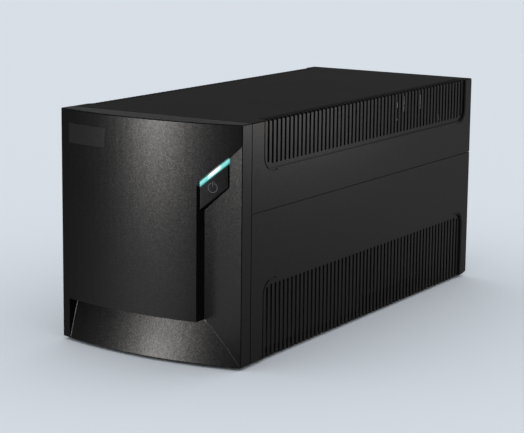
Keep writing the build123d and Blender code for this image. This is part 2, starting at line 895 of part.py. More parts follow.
with BuildPart() as buzzer:
    with BuildSketch(Plane.XY.offset(z_parts)):
        with Locations(buzzer_place):
            RegularPolygon(buzzer_radius, 16)
    extrude(amount=buzzer_height)
save(buzzer, "buzzer")

save(on_board([chip_place], *chip_size), "control_chip")
save(on_board([(-fuse_x, fuse_y), (fuse_x, fuse_y)], *fuse_size), "battery_fuses")
block_places = [(-block_x, block_y), (block_x, block_y)]
save(on_board(block_places, *block_size), "terminal_blocks")

# ---------------------------------------------------------------- leads


def bent_route(points, bend):
    """A route through the points, with each of its rounded corners taken in two chords."""
    with BuildLine(mode=Mode.PRIVATE) as smooth:
        FilletPolyline(*points, radius=bend)
    stops = []
    for run in smooth.wires()[0].order_edges():
        stops.append(run @ 0)
        if run.geom_type == GeomType.CIRCLE:
            stops.append(run @ 0.5)
    with BuildLine() as route:
        Polyline(*stops, points[-1])
    return route.wires()[0]


def lead(name, points):
    """A wire along a bent route."""
    with BuildPart() as wire:
        with BuildSketch(Plane(origin=points[0], z_dir=Vector(*points[1]) - Vector(*points[0]))):
            RegularPolygon(lead_radius, 6)
        sweep(path=bent_route(points, lead_bend), transition=Transition.RIGHT)
    save(wire, name)


z_tip = z_lid + terminal_height
z_lead = z_parts + lead_rise
for name, side in (("negative_lead", -1), ("positive_lead", 1)):
    x_end = side * terminal_outer
    x_block = side * block_x
    lead(
        name,
        [
            (x_end, terminal_y, z_tip),
            (x_end, terminal_y, z_lead),
            (x_block, block_y, z_lead),
            (x_block, block_y, z_parts + block_size[2]),
        ],
    )
lead(
    "battery_link",
    [
        (-terminal_inner, terminal_y, z_tip),
        (-terminal_inner, terminal_y, z_tip + link_rise),
        (terminal_inner, terminal_y, z_tip + link_rise),
        (terminal_inner, terminal_y, z_tip),
    ],
)

z_ribbon = z_base + ribbon_plug_height
y_ribbon = y_cluster_back + ribbon_plug_depth
with BuildPart() as ribbon_plugs:
    with BuildSketch(across(y_ribbon)):
        with Locations((ribbon_x, z_ribbon)):
            Rectangle(*ribbon_plug)
    extrude(amount=ribbon_plug_depth)
    with BuildSketch(Plane.XY.offset(z_parts)):
        with Locations((ribbon_x, block_y)):
            Rectangle(*ribbon_plug)
    extrude(amount=ribbon_plug_depth)
save(ribbon_plugs, "ribbon_plugs")

with BuildPart() as ribbon:
    with BuildSketch(across(y_ribbon)):
        with Locations((ribbon_x, z_ribbon)):
            Rectangle(ribbon_width, ribbon_thickness)
    ribbon_points = [
        (ribbon_x, y_ribbon, z_ribbon),
        (ribbon_x, y_ribbon + ribbon_slack, z_ribbon),
        (ribbon_x, block_y, z_lead + ribbon_plug_depth),
        (ribbon_x, block_y, z_parts + ribbon_plug_depth),
    ]
    sweep(path=bent_route(ribbon_points, ribbon_bend), transition=Transition.RIGHT)
save(ribbon, "ribbon_cable")

# ---------------------------------------------------------------- transformer

core_middle = (core_front + core_back) / 2
yoke = core_leg / 2
window_width = core_width / 2 - 2 * yoke
z_core = z_pad
former_x = yoke + fit_gap + former_wall

with BuildPart() as transformer_core:
    with BuildSketch(across(core_back)):
        with Locations((0, z_core + core_height / 2)):
            Rectangle(core_width, core_height)
            with Locations((-yoke - window_width / 2, 0), (yoke + window_width / 2, 0)):
                Rectangle(window_width, core_height - 2 * yoke, mode=Mode.SUBTRACT)
    extrude(amount=core_depth)
save(transformer_core, "transformer_core")


def around_leg(inner, outer_x, outer_y, low, high):
    """A rectangular ring round the middle leg of the core."""
    with BuildPart() as ring:
        with BuildSketch(Plane.XY.offset(low)):
            with Locations((0, core_middle)):
                Rectangle(2 * outer_x, core_depth + 2 * outer_y)
                Rectangle(2 * (yoke + inner), core_depth + 2 * inner, mode=Mode.SUBTRACT)
        extrude(amount=high - low)
    return ring.part


window_low = z_core + yoke + fit_gap
window_high = z_core + core_height - yoke - fit_gap
flange_x = yoke + window_width - fit_gap
with BuildPart() as transformer_former:
    add(around_leg(fit_gap, former_x, fit_gap + former_wall, window_low, window_high))
    for low in (window_low, window_high - former_wall):
        add(around_leg(fit_gap, flange_x, winding_depth, low, low + former_wall))
save(transformer_former, "transformer_former")

with BuildPart() as transformer_winding:
    inner = fit_gap + former_wall
    low, high = window_low + former_wall, window_high - former_wall
    add(around_leg(inner, flange_x - winding_gap, winding_depth - winding_gap, low, high))
    corners = transformer_winding.edges().filter_by(Axis.Z)
    chamfer(corners.filter_by(lambda e: abs(e.center().X) > former_x + winding_gap), winding_corner)
save(transformer_winding, "transformer_winding")

strap_front = core_front - fit_gap - strap_thickness
strap_back = core_back + fit_gap + strap_thickness
z_core_top = z_core + core_height + fit_gap
with BuildPart() as transformer_bracket:
    for side in (-1, 1):
        with BuildSketch(Plane.YZ.offset(side * strap_x - strap_width / 2)):
            with BuildLine():
                Polyline(
                    (strap_front - strap_foot, z_pad),
                    (strap_front + strap_thickness, z_pad),
                    (strap_front + strap_thickness, z_core_top),
                    (strap_back - strap_thickness, z_core_top),
                    (strap_back - strap_thickness, z_pad),
                    (strap_back + strap_foot, z_pad),
                    (strap_back + strap_foot, z_pad + strap_thickness),
                    (strap_back, z_pad + strap_thickness),
                    (strap_back, z_core_top + strap_thickness),
                    (strap_front, z_core_top + strap_thickness),
                    (strap_front, z_pad + strap_thickness),
                    (strap_front - strap_foot, z_pad + strap_thickness),
                    close=True,
                )
            make_face()
        extrude(amount=strap_width)
    with BuildSketch(Plane.XY.offset(z_core_top)):
        with Locations((0, core_middle)):
            Rectangle(2 * strap_x, core_depth / 2)
    extrude(amount=strap_thickness)
    add(hole_set(strap_pads, z_pad, strap_thickness), mode=Mode.SUBTRACT)
save(transformer_bracket, "transformer_bracket")

bracket_screws = screw_set(
    [((x, y, z_pad + sheet), (0, 0, 1)) for x, y in bracket_pads]
    + [((x, y, z_pad + strap_thickness), (0, 0, 1)) for x, y in strap_pads],
    screw_head,
    pad_height,
)
save(bracket_screws, "bracket_screws")

# ---------------------------------------------------------------- rear panel and what it carries

panel_half = half_width - wall - panel_gap
z_sockets = [z_base + h for h in socket_rows]
socket_places = [(x, z) for z in reversed(z_sockets) for x in socket_columns]
z_inlet = z_base + inlet_height
z_breaker = z_base + breaker_height
z_port_board = z_base + port_board_height
z_ports = z_port_board + board_thickness
z_usb = z_ports + usb_size[1] / 2
z_jack = z_ports + jack_block[1] / 2
z_fan = z_base + fan_height
fan_corners = [(fan_x + i * fan_holes / 2, z_fan + k * fan_holes / 2) for i in (-1, 1) for k in (-1, 1)]
grille_count = int(2 * grille_radius / grille_pitch)


def cut_corners(width, height, size):
    """A rectangle with its two upper corners cut off, as mains connectors have."""
    with BuildSketch() as shape:
        Rectangle(width, height)
        chamfer(shape.vertices().group_by(Axis.Y)[-1], size)
    return shape.sketch


def pin_sketch(width, height):
    """Outlines of the two outer pins and the earth pin, around the middle of a connector."""
    with BuildSketch() as pins:
        with Locations((-pin_spread, -pin_offset), (0, pin_offset), (pin_spread, -pin_offset)):
            Rectangle(width, height)
    return pins.sketch


with BuildPart() as rear_panel:
    with BuildSketch(across(y_panel)):
        with Locations((0, (z_floor + z_ceiling) / 2)):
            Rectangle(2 * panel_half, z_ceiling - z_floor - 2 * panel_gap)
        with Locations(*socket_places):
            Rectangle(*[d + 2 * fit_gap for d in socket_body], mode=Mode.SUBTRACT)
        with Locations((inlet_x, z_inlet)):
            Rectangle(*[d + 2 * fit_gap for d in inlet_body], mode=Mode.SUBTRACT)
            with Locations((-inlet_screws / 2, 0), (inlet_screws / 2, 0)):
                RegularPolygon(screw_shank + pilot_gap, 6, mode=Mode.SUBTRACT)
        with Locations((usb_x, z_usb)):
            Rectangle(*[d + 2 * fit_gap for d in usb_size], mode=Mode.SUBTRACT)
        with Locations((jack_x, z_jack)):
            Rectangle(*[d + 2 * fit_gap for d in jack_block], mode=Mode.SUBTRACT)
        with Locations((breaker_x, z_breaker)):
            RegularPolygon(breaker_neck + fit_gap, 24, mode=Mode.SUBTRACT)
        with Locations(*fan_corners):
            RegularPolygon(screw_shank + pilot_gap, 6, mode=Mode.SUBTRACT)
        for i in range(grille_count):
            shift = (i - (grille_count - 1) / 2) * grille_pitch
            with Locations((fan_x + shift, z_fan)):
                Rectangle(grille_slot, 2 * math.sqrt(grille_radius**2 - shift**2), mode=Mode.SUBTRACT)
    extrude(amount=panel_thickness)
save(rear_panel, "rear_panel")

for number, place in enumerate(socket_places, start=1):
    with BuildPart() as socket:
        y_face = y_panel + socket_face_thickness
        with BuildSketch(across(y_face)):
            with Locations(place):
                Rectangle(*socket_face)
        extrude(amount=socket_face_thickness)
        with BuildSketch(across(y_panel)):
            with Locations(place):
                Rectangle(*socket_body)
        extrude(amount=socket_body_depth)
        with BuildSketch(across(y_face)):
            with Locations(place):
                add(cut_corners(*socket_opening, connector_corner))
                add(cut_corners(*socket_boss, connector_corner), mode=Mode.SUBTRACT)
        extrude(amount=socket_depth, mode=Mode.SUBTRACT)
        with BuildSketch(across(y_face)):
            with Locations(place):
                add(pin_sketch(pin_width + pin_gap, pin_height + pin_gap))
        extrude(amount=socket_body_depth + 2 * socket_face_thickness, mode=Mode.SUBTRACT)
    save(socket, f"outlet_{number}")

with BuildPart() as outlet_contacts:
    with BuildSketch(across(y_panel - socket_depth)):
        with Locations(*socket_places):
            add(pin_sketch(pin_width, pin_height))
    extrude(amount=socket_body_depth - socket_depth + pin_tail)
save(outlet_contacts, "outlet_contacts")

y_inlet_face = y_panel + inlet_flange_thickness
with BuildPart() as ac_inlet:
    with BuildSketch(across(y_inlet_face)) as flange:
        with Locations((inlet_x, z_inlet)):
            Rectangle(*inlet_flange)
        chamfer(flange.vertices(), inlet_flange_corner)
        with Locations((inlet_x, z_inlet)):
            with Locations((-inlet_screws / 2, 0), (inlet_screws / 2, 0)):
                RegularPolygon(screw_shank + pilot_gap, 6, mode=Mode.SUBTRACT)
    extrude(amount=inlet_flange_thickness)
    with BuildSketch(across(y_panel)):
        with Locations((inlet_x, z_inlet)):
            Rectangle(*inlet_body)
    extrude(amount=inlet_body_depth)
    with BuildSketch(across(y_inlet_face)):
        with Locations((inlet_x, z_inlet)):
            add(cut_corners(*inlet_cavity, connector_corner))
    extrude(amount=inlet_cavity_depth, mode=Mode.SUBTRACT)
    with BuildSketch(across(y_inlet_face)):
        with Locations((inlet_x, z_inlet)):
            add(pin_sketch(pin_width + fit_gap, pin_height + fit_gap))
    extrude(amount=inlet_body_depth + 2 * inlet_flange_thickness, mode=Mode.SUBTRACT)
save(ac_inlet, "ac_inlet")

with BuildPart() as inlet_pins:
    with BuildSketch(across(y_panel)):
        with Locations((inlet_x, z_inlet)):
            add(pin_sketch(pin_width, pin_height))
    extrude(amount=inlet_body_depth + pin_tail)
save(inlet_pins, "inlet_pins")


# ---------------------------------------------------------------- circuit breaker

y_neck = y_panel + breaker_neck_length
with BuildPart() as breaker_body:
    with BuildSketch(across(y_panel_back)):
        with Locations((breaker_x, z_breaker)):
            Rectangle(*breaker_body_size)
    extrude(amount=breaker_depth)
    with BuildSketch(across(y_neck)):
        with Locations((breaker_x, z_breaker)):
            RegularPolygon(breaker_neck, 24)
    extrude(amount=breaker_neck_length + panel_thickness)
    with BuildSketch(across(y_neck)):
        with Locations((breaker_x, z_breaker)):
            RegularPolygon(breaker_bore, 16, major_radius=False)
    extrude(amount=breaker_bore_depth, mode=Mode.SUBTRACT)
save(breaker_body, "breaker_body")

with BuildPart() as breaker_nut:
    with BuildSketch(across(y_panel + breaker_nut_thickness)):
        with Locations((breaker_x, z_breaker)):
            RegularPolygon(breaker_nut_size, 6)
            RegularPolygon(breaker_neck + pilot_gap, 16, major_radius=False, mode=Mode.SUBTRACT)
    extrude(amount=breaker_nut_thickness)
save(breaker_nut, "breaker_nut")

with BuildPart() as breaker_button:
    with BuildSketch(across(y_neck + breaker_pin_stand)):
        with Locations((breaker_x, z_breaker)):
            RegularPolygon(breaker_pin_radius, 16)
    extrude(amount=breaker_pin_length)
save(breaker_button, "breaker_button")

# ---------------------------------------------------------------- data ports

y_port = y_panel + port_stand
with BuildPart() as port_board:
    with BuildSketch(Plane.XY.offset(z_port_board)):
        with Locations(((port_board_left + port_board_right) / 2, y_panel_back - port_board_depth / 2)):
            Rectangle(port_board_right - port_board_left, port_board_depth)
    extrude(amount=board_thickness)
save(port_board, "port_board")

with BuildPart() as usb_shell:
    with BuildSketch(across(y_port)):
        with Locations((usb_x, z_usb)):
            Rectangle(*usb_size)
            Rectangle(*[d - 2 * usb_wall for d in usb_size], mode=Mode.SUBTRACT)
    extrude(amount=usb_depth)
save(usb_shell, "usb_shell")

with BuildPart() as usb_insert:
    with BuildSketch(across(y_port - usb_wall)):
        with Locations((usb_x, z_usb)):
            Rectangle(*[d - 2 * usb_wall for d in usb_size])
    extrude(amount=usb_depth - usb_wall)
    with BuildSketch(across(y_port)):
        with Locations((usb_x, z_usb)):
            Rectangle(*usb_mouth)
            Rectangle(*usb_tongue, mode=Mode.SUBTRACT)
    extrude(amount=usb_mouth_depth, mode=Mode.SUBTRACT)
save(usb_insert, "usb_insert")

with BuildPart() as network_jacks:
    with BuildSketch(across(y_port)):
        with Locations((jack_x, z_jack)):
            Rectangle(*jack_block)
    extrude(amount=jack_depth)
    with BuildSketch(across(y_port)):
        with Locations((jack_x - jack_pitch / 2, z_jack), (jack_x + jack_pitch / 2, z_jack)):
            Rectangle(*jack_mouth)
            with Locations((0, (jack_mouth[1] + jack_latch[1]) / 2)):
                Rectangle(*jack_latch)
    extrude(amount=jack_mouth_depth, mode=Mode.SUBTRACT)
save(network_jacks, "network_jacks")

# ---------------------------------------------------------------- fan

y_fan = y_panel_back - fan_depth
with BuildPart() as fan_frame:
    with BuildSketch(across(y_panel_back)) as fan_outline:
        with Locations((fan_x, z_fan)):
            Rectangle(fan_size, fan_size)
        chamfer(fan_outline.vertices(), fan_corner)
        with Locations((fan_x, z_fan)):
            Circle(fan_bore, mode=Mode.SUBTRACT)
        with Locations(*fan_corners):
            RegularPolygon(screw_shank + pilot_gap, 6, mode=Mode.SUBTRACT)
    extrude(amount=fan_depth)
    with BuildSketch(across(y_fan + fan_plate)):
        with Locations((fan_x, z_fan)):
            RegularPolygon(fan_hub, 16)
            Rectangle(2 * fan_bore, fan_strut)
            Rectangle(fan_strut, 2 * fan_bore)
    extrude(amount=fan_plate)
save(fan_frame, "fan_frame")

y_rotor = y_fan + fan_plate + fan_gap
rotor_depth = fan_depth - fan_plate - 2 * fan_gap
with BuildPart() as fan_rotor:
    with BuildSketch(across(y_rotor + rotor_depth)):
        with Locations((fan_x, z_fan)):
            RegularPolygon(fan_hub, 24)
    extrude(amount=rotor_depth)
    pitch = math.radians(blade_pitch)
    for i in range(fan_blades):
        turn = 2 * math.pi * i / fan_blades
        outward = Vector(math.cos(turn), 0, math.sin(turn))
        sideways = Vector(-math.sin(turn), 0, math.cos(turn))
        chord = sideways * math.cos(pitch) + Vector(0, math.sin(pitch), 0)
        root = Vector(fan_x, y_rotor + rotor_depth / 2, z_fan) + outward * (fan_hub - blade_thickness)
        with BuildSketch(Plane(origin=root, x_dir=chord, z_dir=outward)):
            Rectangle(blade_chord, blade_thickness)
        extrude(amount=blade_radius - fan_hub)
save(fan_rotor, "fan_rotor")

panel_screws = screw_set(
    [((x, y_panel, z), (0, 1, 0)) for x, z in fan_corners]
    + [((inlet_x + s * inlet_screws / 2, y_inlet_face, z_inlet), (0, 1, 0)) for s in (-1, 1)],
    screw_head,
    panel_thickness + screw_bite,
)
save(panel_screws, "panel_screws")
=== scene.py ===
import json
import math

import bmesh
import bpy
from mathutils import Matrix, Vector


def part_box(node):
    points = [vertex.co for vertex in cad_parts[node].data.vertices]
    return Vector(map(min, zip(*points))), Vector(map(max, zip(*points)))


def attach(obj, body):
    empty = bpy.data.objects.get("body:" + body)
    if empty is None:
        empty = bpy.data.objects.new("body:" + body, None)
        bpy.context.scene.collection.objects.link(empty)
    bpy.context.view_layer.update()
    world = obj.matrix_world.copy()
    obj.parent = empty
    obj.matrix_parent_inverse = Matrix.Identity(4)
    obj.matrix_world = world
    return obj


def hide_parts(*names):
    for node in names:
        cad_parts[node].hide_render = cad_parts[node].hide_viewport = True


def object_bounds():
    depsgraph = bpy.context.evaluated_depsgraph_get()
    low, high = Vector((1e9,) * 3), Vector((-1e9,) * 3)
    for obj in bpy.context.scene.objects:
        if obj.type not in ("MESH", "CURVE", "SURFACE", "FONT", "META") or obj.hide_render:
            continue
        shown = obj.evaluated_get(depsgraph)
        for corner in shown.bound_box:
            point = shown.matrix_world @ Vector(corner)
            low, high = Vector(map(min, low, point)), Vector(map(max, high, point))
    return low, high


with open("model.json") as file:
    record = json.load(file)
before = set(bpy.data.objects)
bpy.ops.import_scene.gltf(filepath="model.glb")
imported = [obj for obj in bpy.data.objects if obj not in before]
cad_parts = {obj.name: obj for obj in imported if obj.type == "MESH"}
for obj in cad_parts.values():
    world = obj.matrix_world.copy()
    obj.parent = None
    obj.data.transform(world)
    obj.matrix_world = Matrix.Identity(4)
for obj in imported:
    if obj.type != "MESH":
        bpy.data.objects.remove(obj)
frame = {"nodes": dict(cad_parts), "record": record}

cad_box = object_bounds()
bpy.ops.object.select_all(action="DESELECT")


# ------------------------------------------------------------------ camera, light and floor
# A long lens looks at the front and the right side from a little above. A softbox close at the left lights
# the front alone, a weaker one rakes along the right side from behind, and a faint strip behind the left
# catches the bezel's top. The pale room and floor do the rest.
lens = 115.47
camera_turn = math.radians(32.25)
camera_rise = math.radians(10.40)
camera_roll = math.radians(0.58)
camera_place = Vector((0.6532, -1.0654, 0.3134))

across = Vector((math.cos(camera_turn), math.sin(camera_turn), 0))
backward = Vector(
    (
        math.sin(camera_turn) * math.cos(camera_rise),
        -math.cos(camera_turn) * math.cos(camera_rise),
        math.sin(camera_rise),
    )
)
upward = backward.cross(across)
rolled_across = across * math.cos(camera_roll) + upward * math.sin(camera_roll)
rolled_upward = upward * math.cos(camera_roll) - across * math.sin(camera_roll)
turned = Matrix((rolled_across, rolled_upward, backward)).transposed().to_4x4()

camera_data = bpy.data.cameras.new("camera")
camera_data.lens = lens
camera_data.shift_x = 0.0097
camera_data.shift_y = -0.0366
camera_data.clip_start = 0.01
camera = bpy.data.objects.new("camera", camera_data)
camera.matrix_world = Matrix.Translation(camera_place) @ turned
bpy.context.collection.objects.link(camera)
bpy.context.scene.camera = camera
bpy.context.scene.view_settings.view_transform = "Standard"


def softbox(name, aim, turn, rise, distance, size, power, tint):
    """A rectangular softbox, size (wide, tall), that faces the point `aim` from a distance. Turn is
    measured from the front, positive towards the right side, and rise from level."""
    turn, rise = math.radians(turn), math.radians(rise)
    towards = Vector((math.sin(turn) * math.cos(rise), -math.cos(turn) * math.cos(rise), math.sin(rise)))
    lamp = bpy.data.lights.new(name, "AREA")
    lamp.shape = "RECTANGLE"
    lamp.size, lamp.size_y = size
    lamp.energy = power
    lamp.color = tint
    stand = bpy.data.objects.new(name, lamp)
    stand.location = Vector(aim) + towards * distance
    stand.rotation_euler = towards.to_track_quat("Z", "Y").to_euler()
    bpy.context.collection.objects.link(stand)
    return stand


front_softbox = softbox(
    "front_softbox",
    aim=(0.0, -0.170, 0.10),
    turn=-27.5,
    rise=3.8,
    distance=0.60,
    size=(0.12, 0.13),
    power=1.27,
    tint=(1.0, 0.975, 0.945),
)
side_softbox = softbox(
    "side_softbox",
    aim=(0.0745, -0.170, 0.16),
    turn=147,
    rise=0.0,
    distance=0.50,
    size=(0.15, 0.15),
    power=0.13,
    tint=(1.0, 0.96, 0.93),
)
rim_softbox = softbox(
    "rim_softbox",
    aim=(0.0, -0.165, 0.164),
    turn=-144,
    rise=9.0,
    distance=0.60,
    size=(0.30, 0.06),
    power=0.015,
    tint=(1.0, 1.0, 1.0),
)


class Value:
    """A number that varies over a surface. Arithmetic on it adds Math nodes to its sheet."""

    def __init__(self, sheet, socket):
        self.sheet = sheet
        self.socket = socket

    def _math(self, operation, first, second=0.0, clamp=False):
        return self.sheet.node(
            "Math", {"operation": operation, "use_clamp": clamp}, {0: first, 1: second}
        ).value("Value")

    def __add__(self, other):
        return self._math("ADD", self, other)

    def __sub__(self, other):
        return self._math("SUBTRACT", self, other)

    def __rsub__(self, other):
        return self._math("SUBTRACT", other, self)

    def __mul__(self, other):
        return self._math("MULTIPLY", self, other)

    def __truediv__(self, other):
        return self._math("DIVIDE", self, other)

    def __rtruediv__(self, other):
        return self._math("DIVIDE", other, self)

    def __pow__(self, other):
        return self._math("POWER", self, other)

    def __gt__(self, other):
        return self._math("GREATER_THAN", self, other)

    def __lt__(self, other):
        return self._math("LESS_THAN", self, other)

    __radd__ = __add__
    __rmul__ = __mul__

    def clamped(self):
        return self._math("ADD", self, 0.0, clamp=True)

    def part(self):
        """What is left after the last whole number."""
        return self._math("FRACT", self)

    def size(self):
        """Its size without its sign."""
        return self._math("ABSOLUTE", self)

    def root(self):
        return self._math("SQRT", self)


class Node:
    """One shader node, with its outputs by name."""

    def __init__(self, sheet, node):
        self.sheet = sheet
        self.made = node

    def value(self, name):
        return Value(self.sheet, self.made.outputs[name])


class Sheet:
    """The node sheet of one material, or of the world."""

    def __init__(self, owner):
        owner.use_nodes = True
        self.tree = owner.node_tree

    def node(self, kind, settings=None, inputs=None):
        """Makes a node, sets its settings and then its inputs, each a number, a colour or a Value."""
        made = self.tree.nodes.new("ShaderNode" + kind)
        for name, setting in (settings or {}).items():
            setattr(made, name, setting)
        self.fill(made, inputs or {})
        return Node(self, made)

    def fill(self, made, inputs):
        for name, given in inputs.items():
            socket = made.inputs[name]
            if isinstance(given, Value):
                self.tree.links.new(given.socket, socket)
            elif isinstance(given, tuple) and len(given) == 3 and socket.type == "RGBA":
                socket.default_value = (*given, 1)
            else:
                socket.default_value = given


class Finish(Sheet):
    """A material with one main shader. Patterns are measured in the object's own metres."""

    def __init__(self, name, colour, roughness, **fixed):
        self.material = bpy.data.materials.new(name)
        super().__init__(self.material)
        self.shader = self.tree.nodes["Principled BSDF"]
        self.set(Base_Color=colour, Roughness=roughness, **fixed)
        self.place = self.node("TexCoord").value("Object")

    def set(self, **inputs):
        """Sets inputs of the main shader, named with _ for each space."""
        self.fill(self.shader, {name.replace("_", " "): given for name, given in inputs.items()})

    def axes(self):
        """The place on the surface as three numbers, in metres."""
        parts = self.node("SeparateXYZ", inputs={"Vector": self.place})
        return parts.value("X"), parts.value("Y"), parts.value("Z")

    def noise(self, size, detail=2.0, rough=0.5, stretch=(1, 1, 1)):
        """Smooth noise between 0 and 1 with features of about `size` metres."""
        place = self.node("Mapping", inputs={"Vector": self.place, "Scale": stretch}).value("Vector")
        return self.node(
            "TexNoise", inputs={"Vector": place, "Scale": 1 / size, "Detail": detail, "Roughness": rough}
        ).value("Fac")

    def cells(self, size, feature="F1"):
        """The distance inside irregular cells of about `size` metres."""
        return self.node(
            "TexVoronoi", {"feature": feature}, {"Vector": self.place, "Scale": 1 / size}
        ).value("Distance")

    def blend(self, share, first, second):
        """A colour between two colours."""
        mixed = self.node("Mix", {"data_type": "RGBA"}, {"Factor": share, 6: first, 7: second})
        return Value(self, mixed.made.outputs[2])

    def grit(self, size, tip):
        """Tips the surface at random by up to `tip` in each cell of about `size` metres."""
        cells = self.node("TexVoronoi", inputs={"Vector": self.place, "Scale": 1 / size}).value("Color")
        off = self.node("VectorMath", {"operation": "SUBTRACT"}, {0: cells, 1: (0.5, 0.5, 0.5)})
        tipped = self.node("VectorMath", {"operation": "SCALE"}, {0: off.value("Vector"), "Scale": 2 * tip})
        flat = self.node("NewGeometry").value("Normal")
        added = self.node("VectorMath", {"operation": "ADD"}, {0: flat, 1: tipped.value("Vector")})
        normal = self.node("VectorMath", {"operation": "NORMALIZE"}, {0: added.value("Vector")})
        self.set(Normal=normal.value("Vector"))

    def relief(self, height, depth):
        """Feeds a height between 0 and 1, `depth` metres high, to the shader as bump."""
        bump = self.node("Bump", inputs={"Height": height, "Distance": depth})
        self.set(Normal=bump.value("Normal"))


world = bpy.data.worlds.new("room")
bpy.context.scene.world = world
room = Sheet(world)
room.tree.nodes.clear()
room_light = (0.90, 0.93, 0.97)
studio_dark = 0.001
behind_glow = 0.066
side_glow = 0.60
glow_narrowness = 45.0
glow_towards = Vector((0.56, 0.83, 0.07)).normalized()
aim = room.node("TexCoord").value("Generated")
facing = room.node("VectorMath", {"operation": "DOT_PRODUCT"}, {0: aim, 1: glow_towards}).value("Value")
behind = room.node("SeparateXYZ", inputs={"Vector": aim}).value("Y").clamped()
glow = facing.clamped() ** glow_narrowness * side_glow + behind * behind_glow + studio_dark
rays = room.node("LightPath")
mirrored = room.node("Background", inputs={"Color": (1.0, 1.0, 1.0), "Strength": glow})
around = room.node("Background", inputs={"Color": room_light, "Strength": 1.0})
sky = room.node("MixShader", inputs={0: rays.value("Is Glossy Ray")})
room.tree.links.new(around.made.outputs[0], sky.made.inputs[1])
room.tree.links.new(mirrored.made.outputs[0], sky.made.inputs[2])
room.tree.links.new(sky.made.outputs[0], room.node("OutputWorld").made.inputs[0])

bpy.ops.mesh.primitive_plane_add(size=30, location=(0, 0, 0))
floor = bpy.context.object
floor.name = "floor"
floor_paint = (0.762, 0.793, 0.822)
floor_finish = Finish("floor_paint", floor_paint, 0.9, Specular_IOR_Level=0.0)
floor_rays = floor_finish.node("LightPath")
floor_x, floor_y, _ = floor_finish.axes()

# Only in reflections in the case, the floor's colour is painted light and shade: a painted pool of light
# that fans out before the front on painted black, and a painted dim grey beside and behind it that
# brightens with the distance from the right side, its darker part near the side standing in for shade.
pool_light, pool_length, pool_spread, pool_start = 0.72, 0.75, 0.55, 0.06
pool_foot = 0.175
pool_sine, pool_cosine = 0.515, 0.857
ahead = floor_x * -pool_sine - (floor_y + pool_foot) * pool_cosine
aside = floor_x * pool_cosine - (floor_y + pool_foot) * pool_sine
spread = aside / (ahead.clamped() + pool_start) / pool_spread
fade = (1.0 - ahead / pool_length).clamped()
painted_pool = (1.0 / (spread * spread + 1.0)) ** 2.0 * fade * (ahead > 0.0) * pool_light
right_side = cad_box[1][0]
brightening = 2.5
front_line, front_sharpness = 0.172, 60.0
# Painted shade: the reflected floor beside the case is painted darker near the right side and lighter away
# from it.
away = ((floor_x - right_side) * brightening).clamped()
# Painted light: before the front the reflected floor is painted black, with the painted pool of light on
# it.
before = floor_finish.blend(painted_pool, (0.006, 0.006, 0.006), (1.0, 0.98, 0.96))
beside = floor_finish.blend(away, (0.222, 0.213, 0.207), (0.262, 0.253, 0.247))
behind_front = ((floor_y + front_line) * front_sharpness).clamped()
painted_reflection = floor_finish.blend(behind_front, before, beside)
# Reflected rays see the painted reflection, and all other rays see the floor's own pale paint.
floor_finish.set(
    Base_Color=floor_finish.blend(floor_rays.value("Is Glossy Ray"), floor_paint, painted_reflection)
)
floor.data.materials.append(floor_finish.material)


# ------------------------------------------------------------------ rubber feet and case screws
# Four moulded rubber pads are stuck to the underside. Four long self-tapping screws come up through deep
# holes beside them and pull the two halves together.
mm = 0.001
weld = 0.01 * mm
body_of = {node: body for body, nodes in frame["record"]["behaviour"]["bodies"].items() for node in nodes}


def add_bevel(piece, width, steps, angle):
    """Adds a modifier that bevels the edges sharper than an angle in degrees."""
    bevel = piece.modifiers.new("edge break", "BEVEL")
    bevel.width = width
    bevel.segments = steps
    bevel.limit_method = "ANGLE"
    bevel.angle_limit = math.radians(angle)


def dress(node, material, edge=0.2 * mm, steps=2):
    """Gives a CAD node its material, and modifiers that weld its triangles and break its sharp edges."""
    piece = frame["nodes"][node]
    piece.data.materials.clear()
    piece.data.materials.append(material)
    piece.modifiers.new("weld", "WELD").merge_threshold = weld
    add_bevel(piece, edge, steps, 30)


def solids_of(node):
    """The lowest and highest corners of each separate solid of a CAD node."""
    form = bmesh.new()
    form.from_mesh(frame["nodes"][node].data)
    bmesh.ops.remove_doubles(form, verts=form.verts, dist=weld)
    left, found = set(form.verts), []
    while left:
        group, reached = set(), [left.pop()]
        while reached:
            corner = reached.pop()
            group.add(corner)
            nearby = [edge.other_vert(corner) for edge in corner.link_edges]
            reached.extend(v for v in nearby if v in left)
            left.difference_update(nearby)
        places = [corner.co for corner in group]
        found.append([Vector(pick(p[i] for p in places) for i in range(3)) for pick in (min, max)])
    form.free()
    return sorted(found, key=lambda box: tuple(round(v, 4) for v in box[0]))


def choose(*pieces):
    """Selects these pieces alone and makes the first one active."""
    bpy.ops.object.select_all(action="DESELECT")
    for piece in pieces:
        piece.select_set(True)
    bpy.context.view_layer.objects.active = pieces[0]


def apply_modifiers(piece):
    choose(piece)
    for modifier in list(piece.modifiers):
        bpy.ops.object.modifier_apply(modifier=modifier.name)


def break_edges(piece, width, steps=2, angle=30, smooth=50):
    """Breaks the sharp edges as a mould does, and shades the roundings smooth between flat faces."""
    add_bevel(piece, width, steps, angle)
    apply_modifiers(piece)
    bpy.ops.object.shade_smooth_by_angle(angle=math.radians(smooth))
    piece.modifiers.new("flat faces", "WEIGHTED_NORMAL").keep_sharp = True
    apply_modifiers(piece)


def round_edges(piece, radius, steps, chosen):
    """Rounds the edges for which chosen(first end, second end, angle) is true. The angle is in degrees,
    below zero in an inner corner."""
    form = bmesh.new()
    form.from_mesh(piece.data)
    form.normal_update()
    edges = [
        edge
        for edge in form.edges
        if len(edge.link_faces) == 2
        and chosen(edge.verts[0].co, edge.verts[1].co, math.degrees(edge.calc_face_angle_signed()))
    ]
    bmesh.ops.bevel(form, geom=edges, offset=radius, segments=steps, profile=0.5, affect="EDGES")
    form.to_mesh(piece.data)
    form.free()


def seat(piece, node, material):
    """Puts a finished piece in the place of a CAD node."""
    piece.name = node + "_finished"
    choose(piece)
    bpy.ops.object.transform_apply(location=True, rotation=True, scale=True)
    piece.data.materials.clear()
    piece.data.materials.append(material)
    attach(piece, body_of[node])
    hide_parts(node)


def join(pieces):
    choose(*pieces)
    bpy.ops.object.join()
    return bpy.context.object


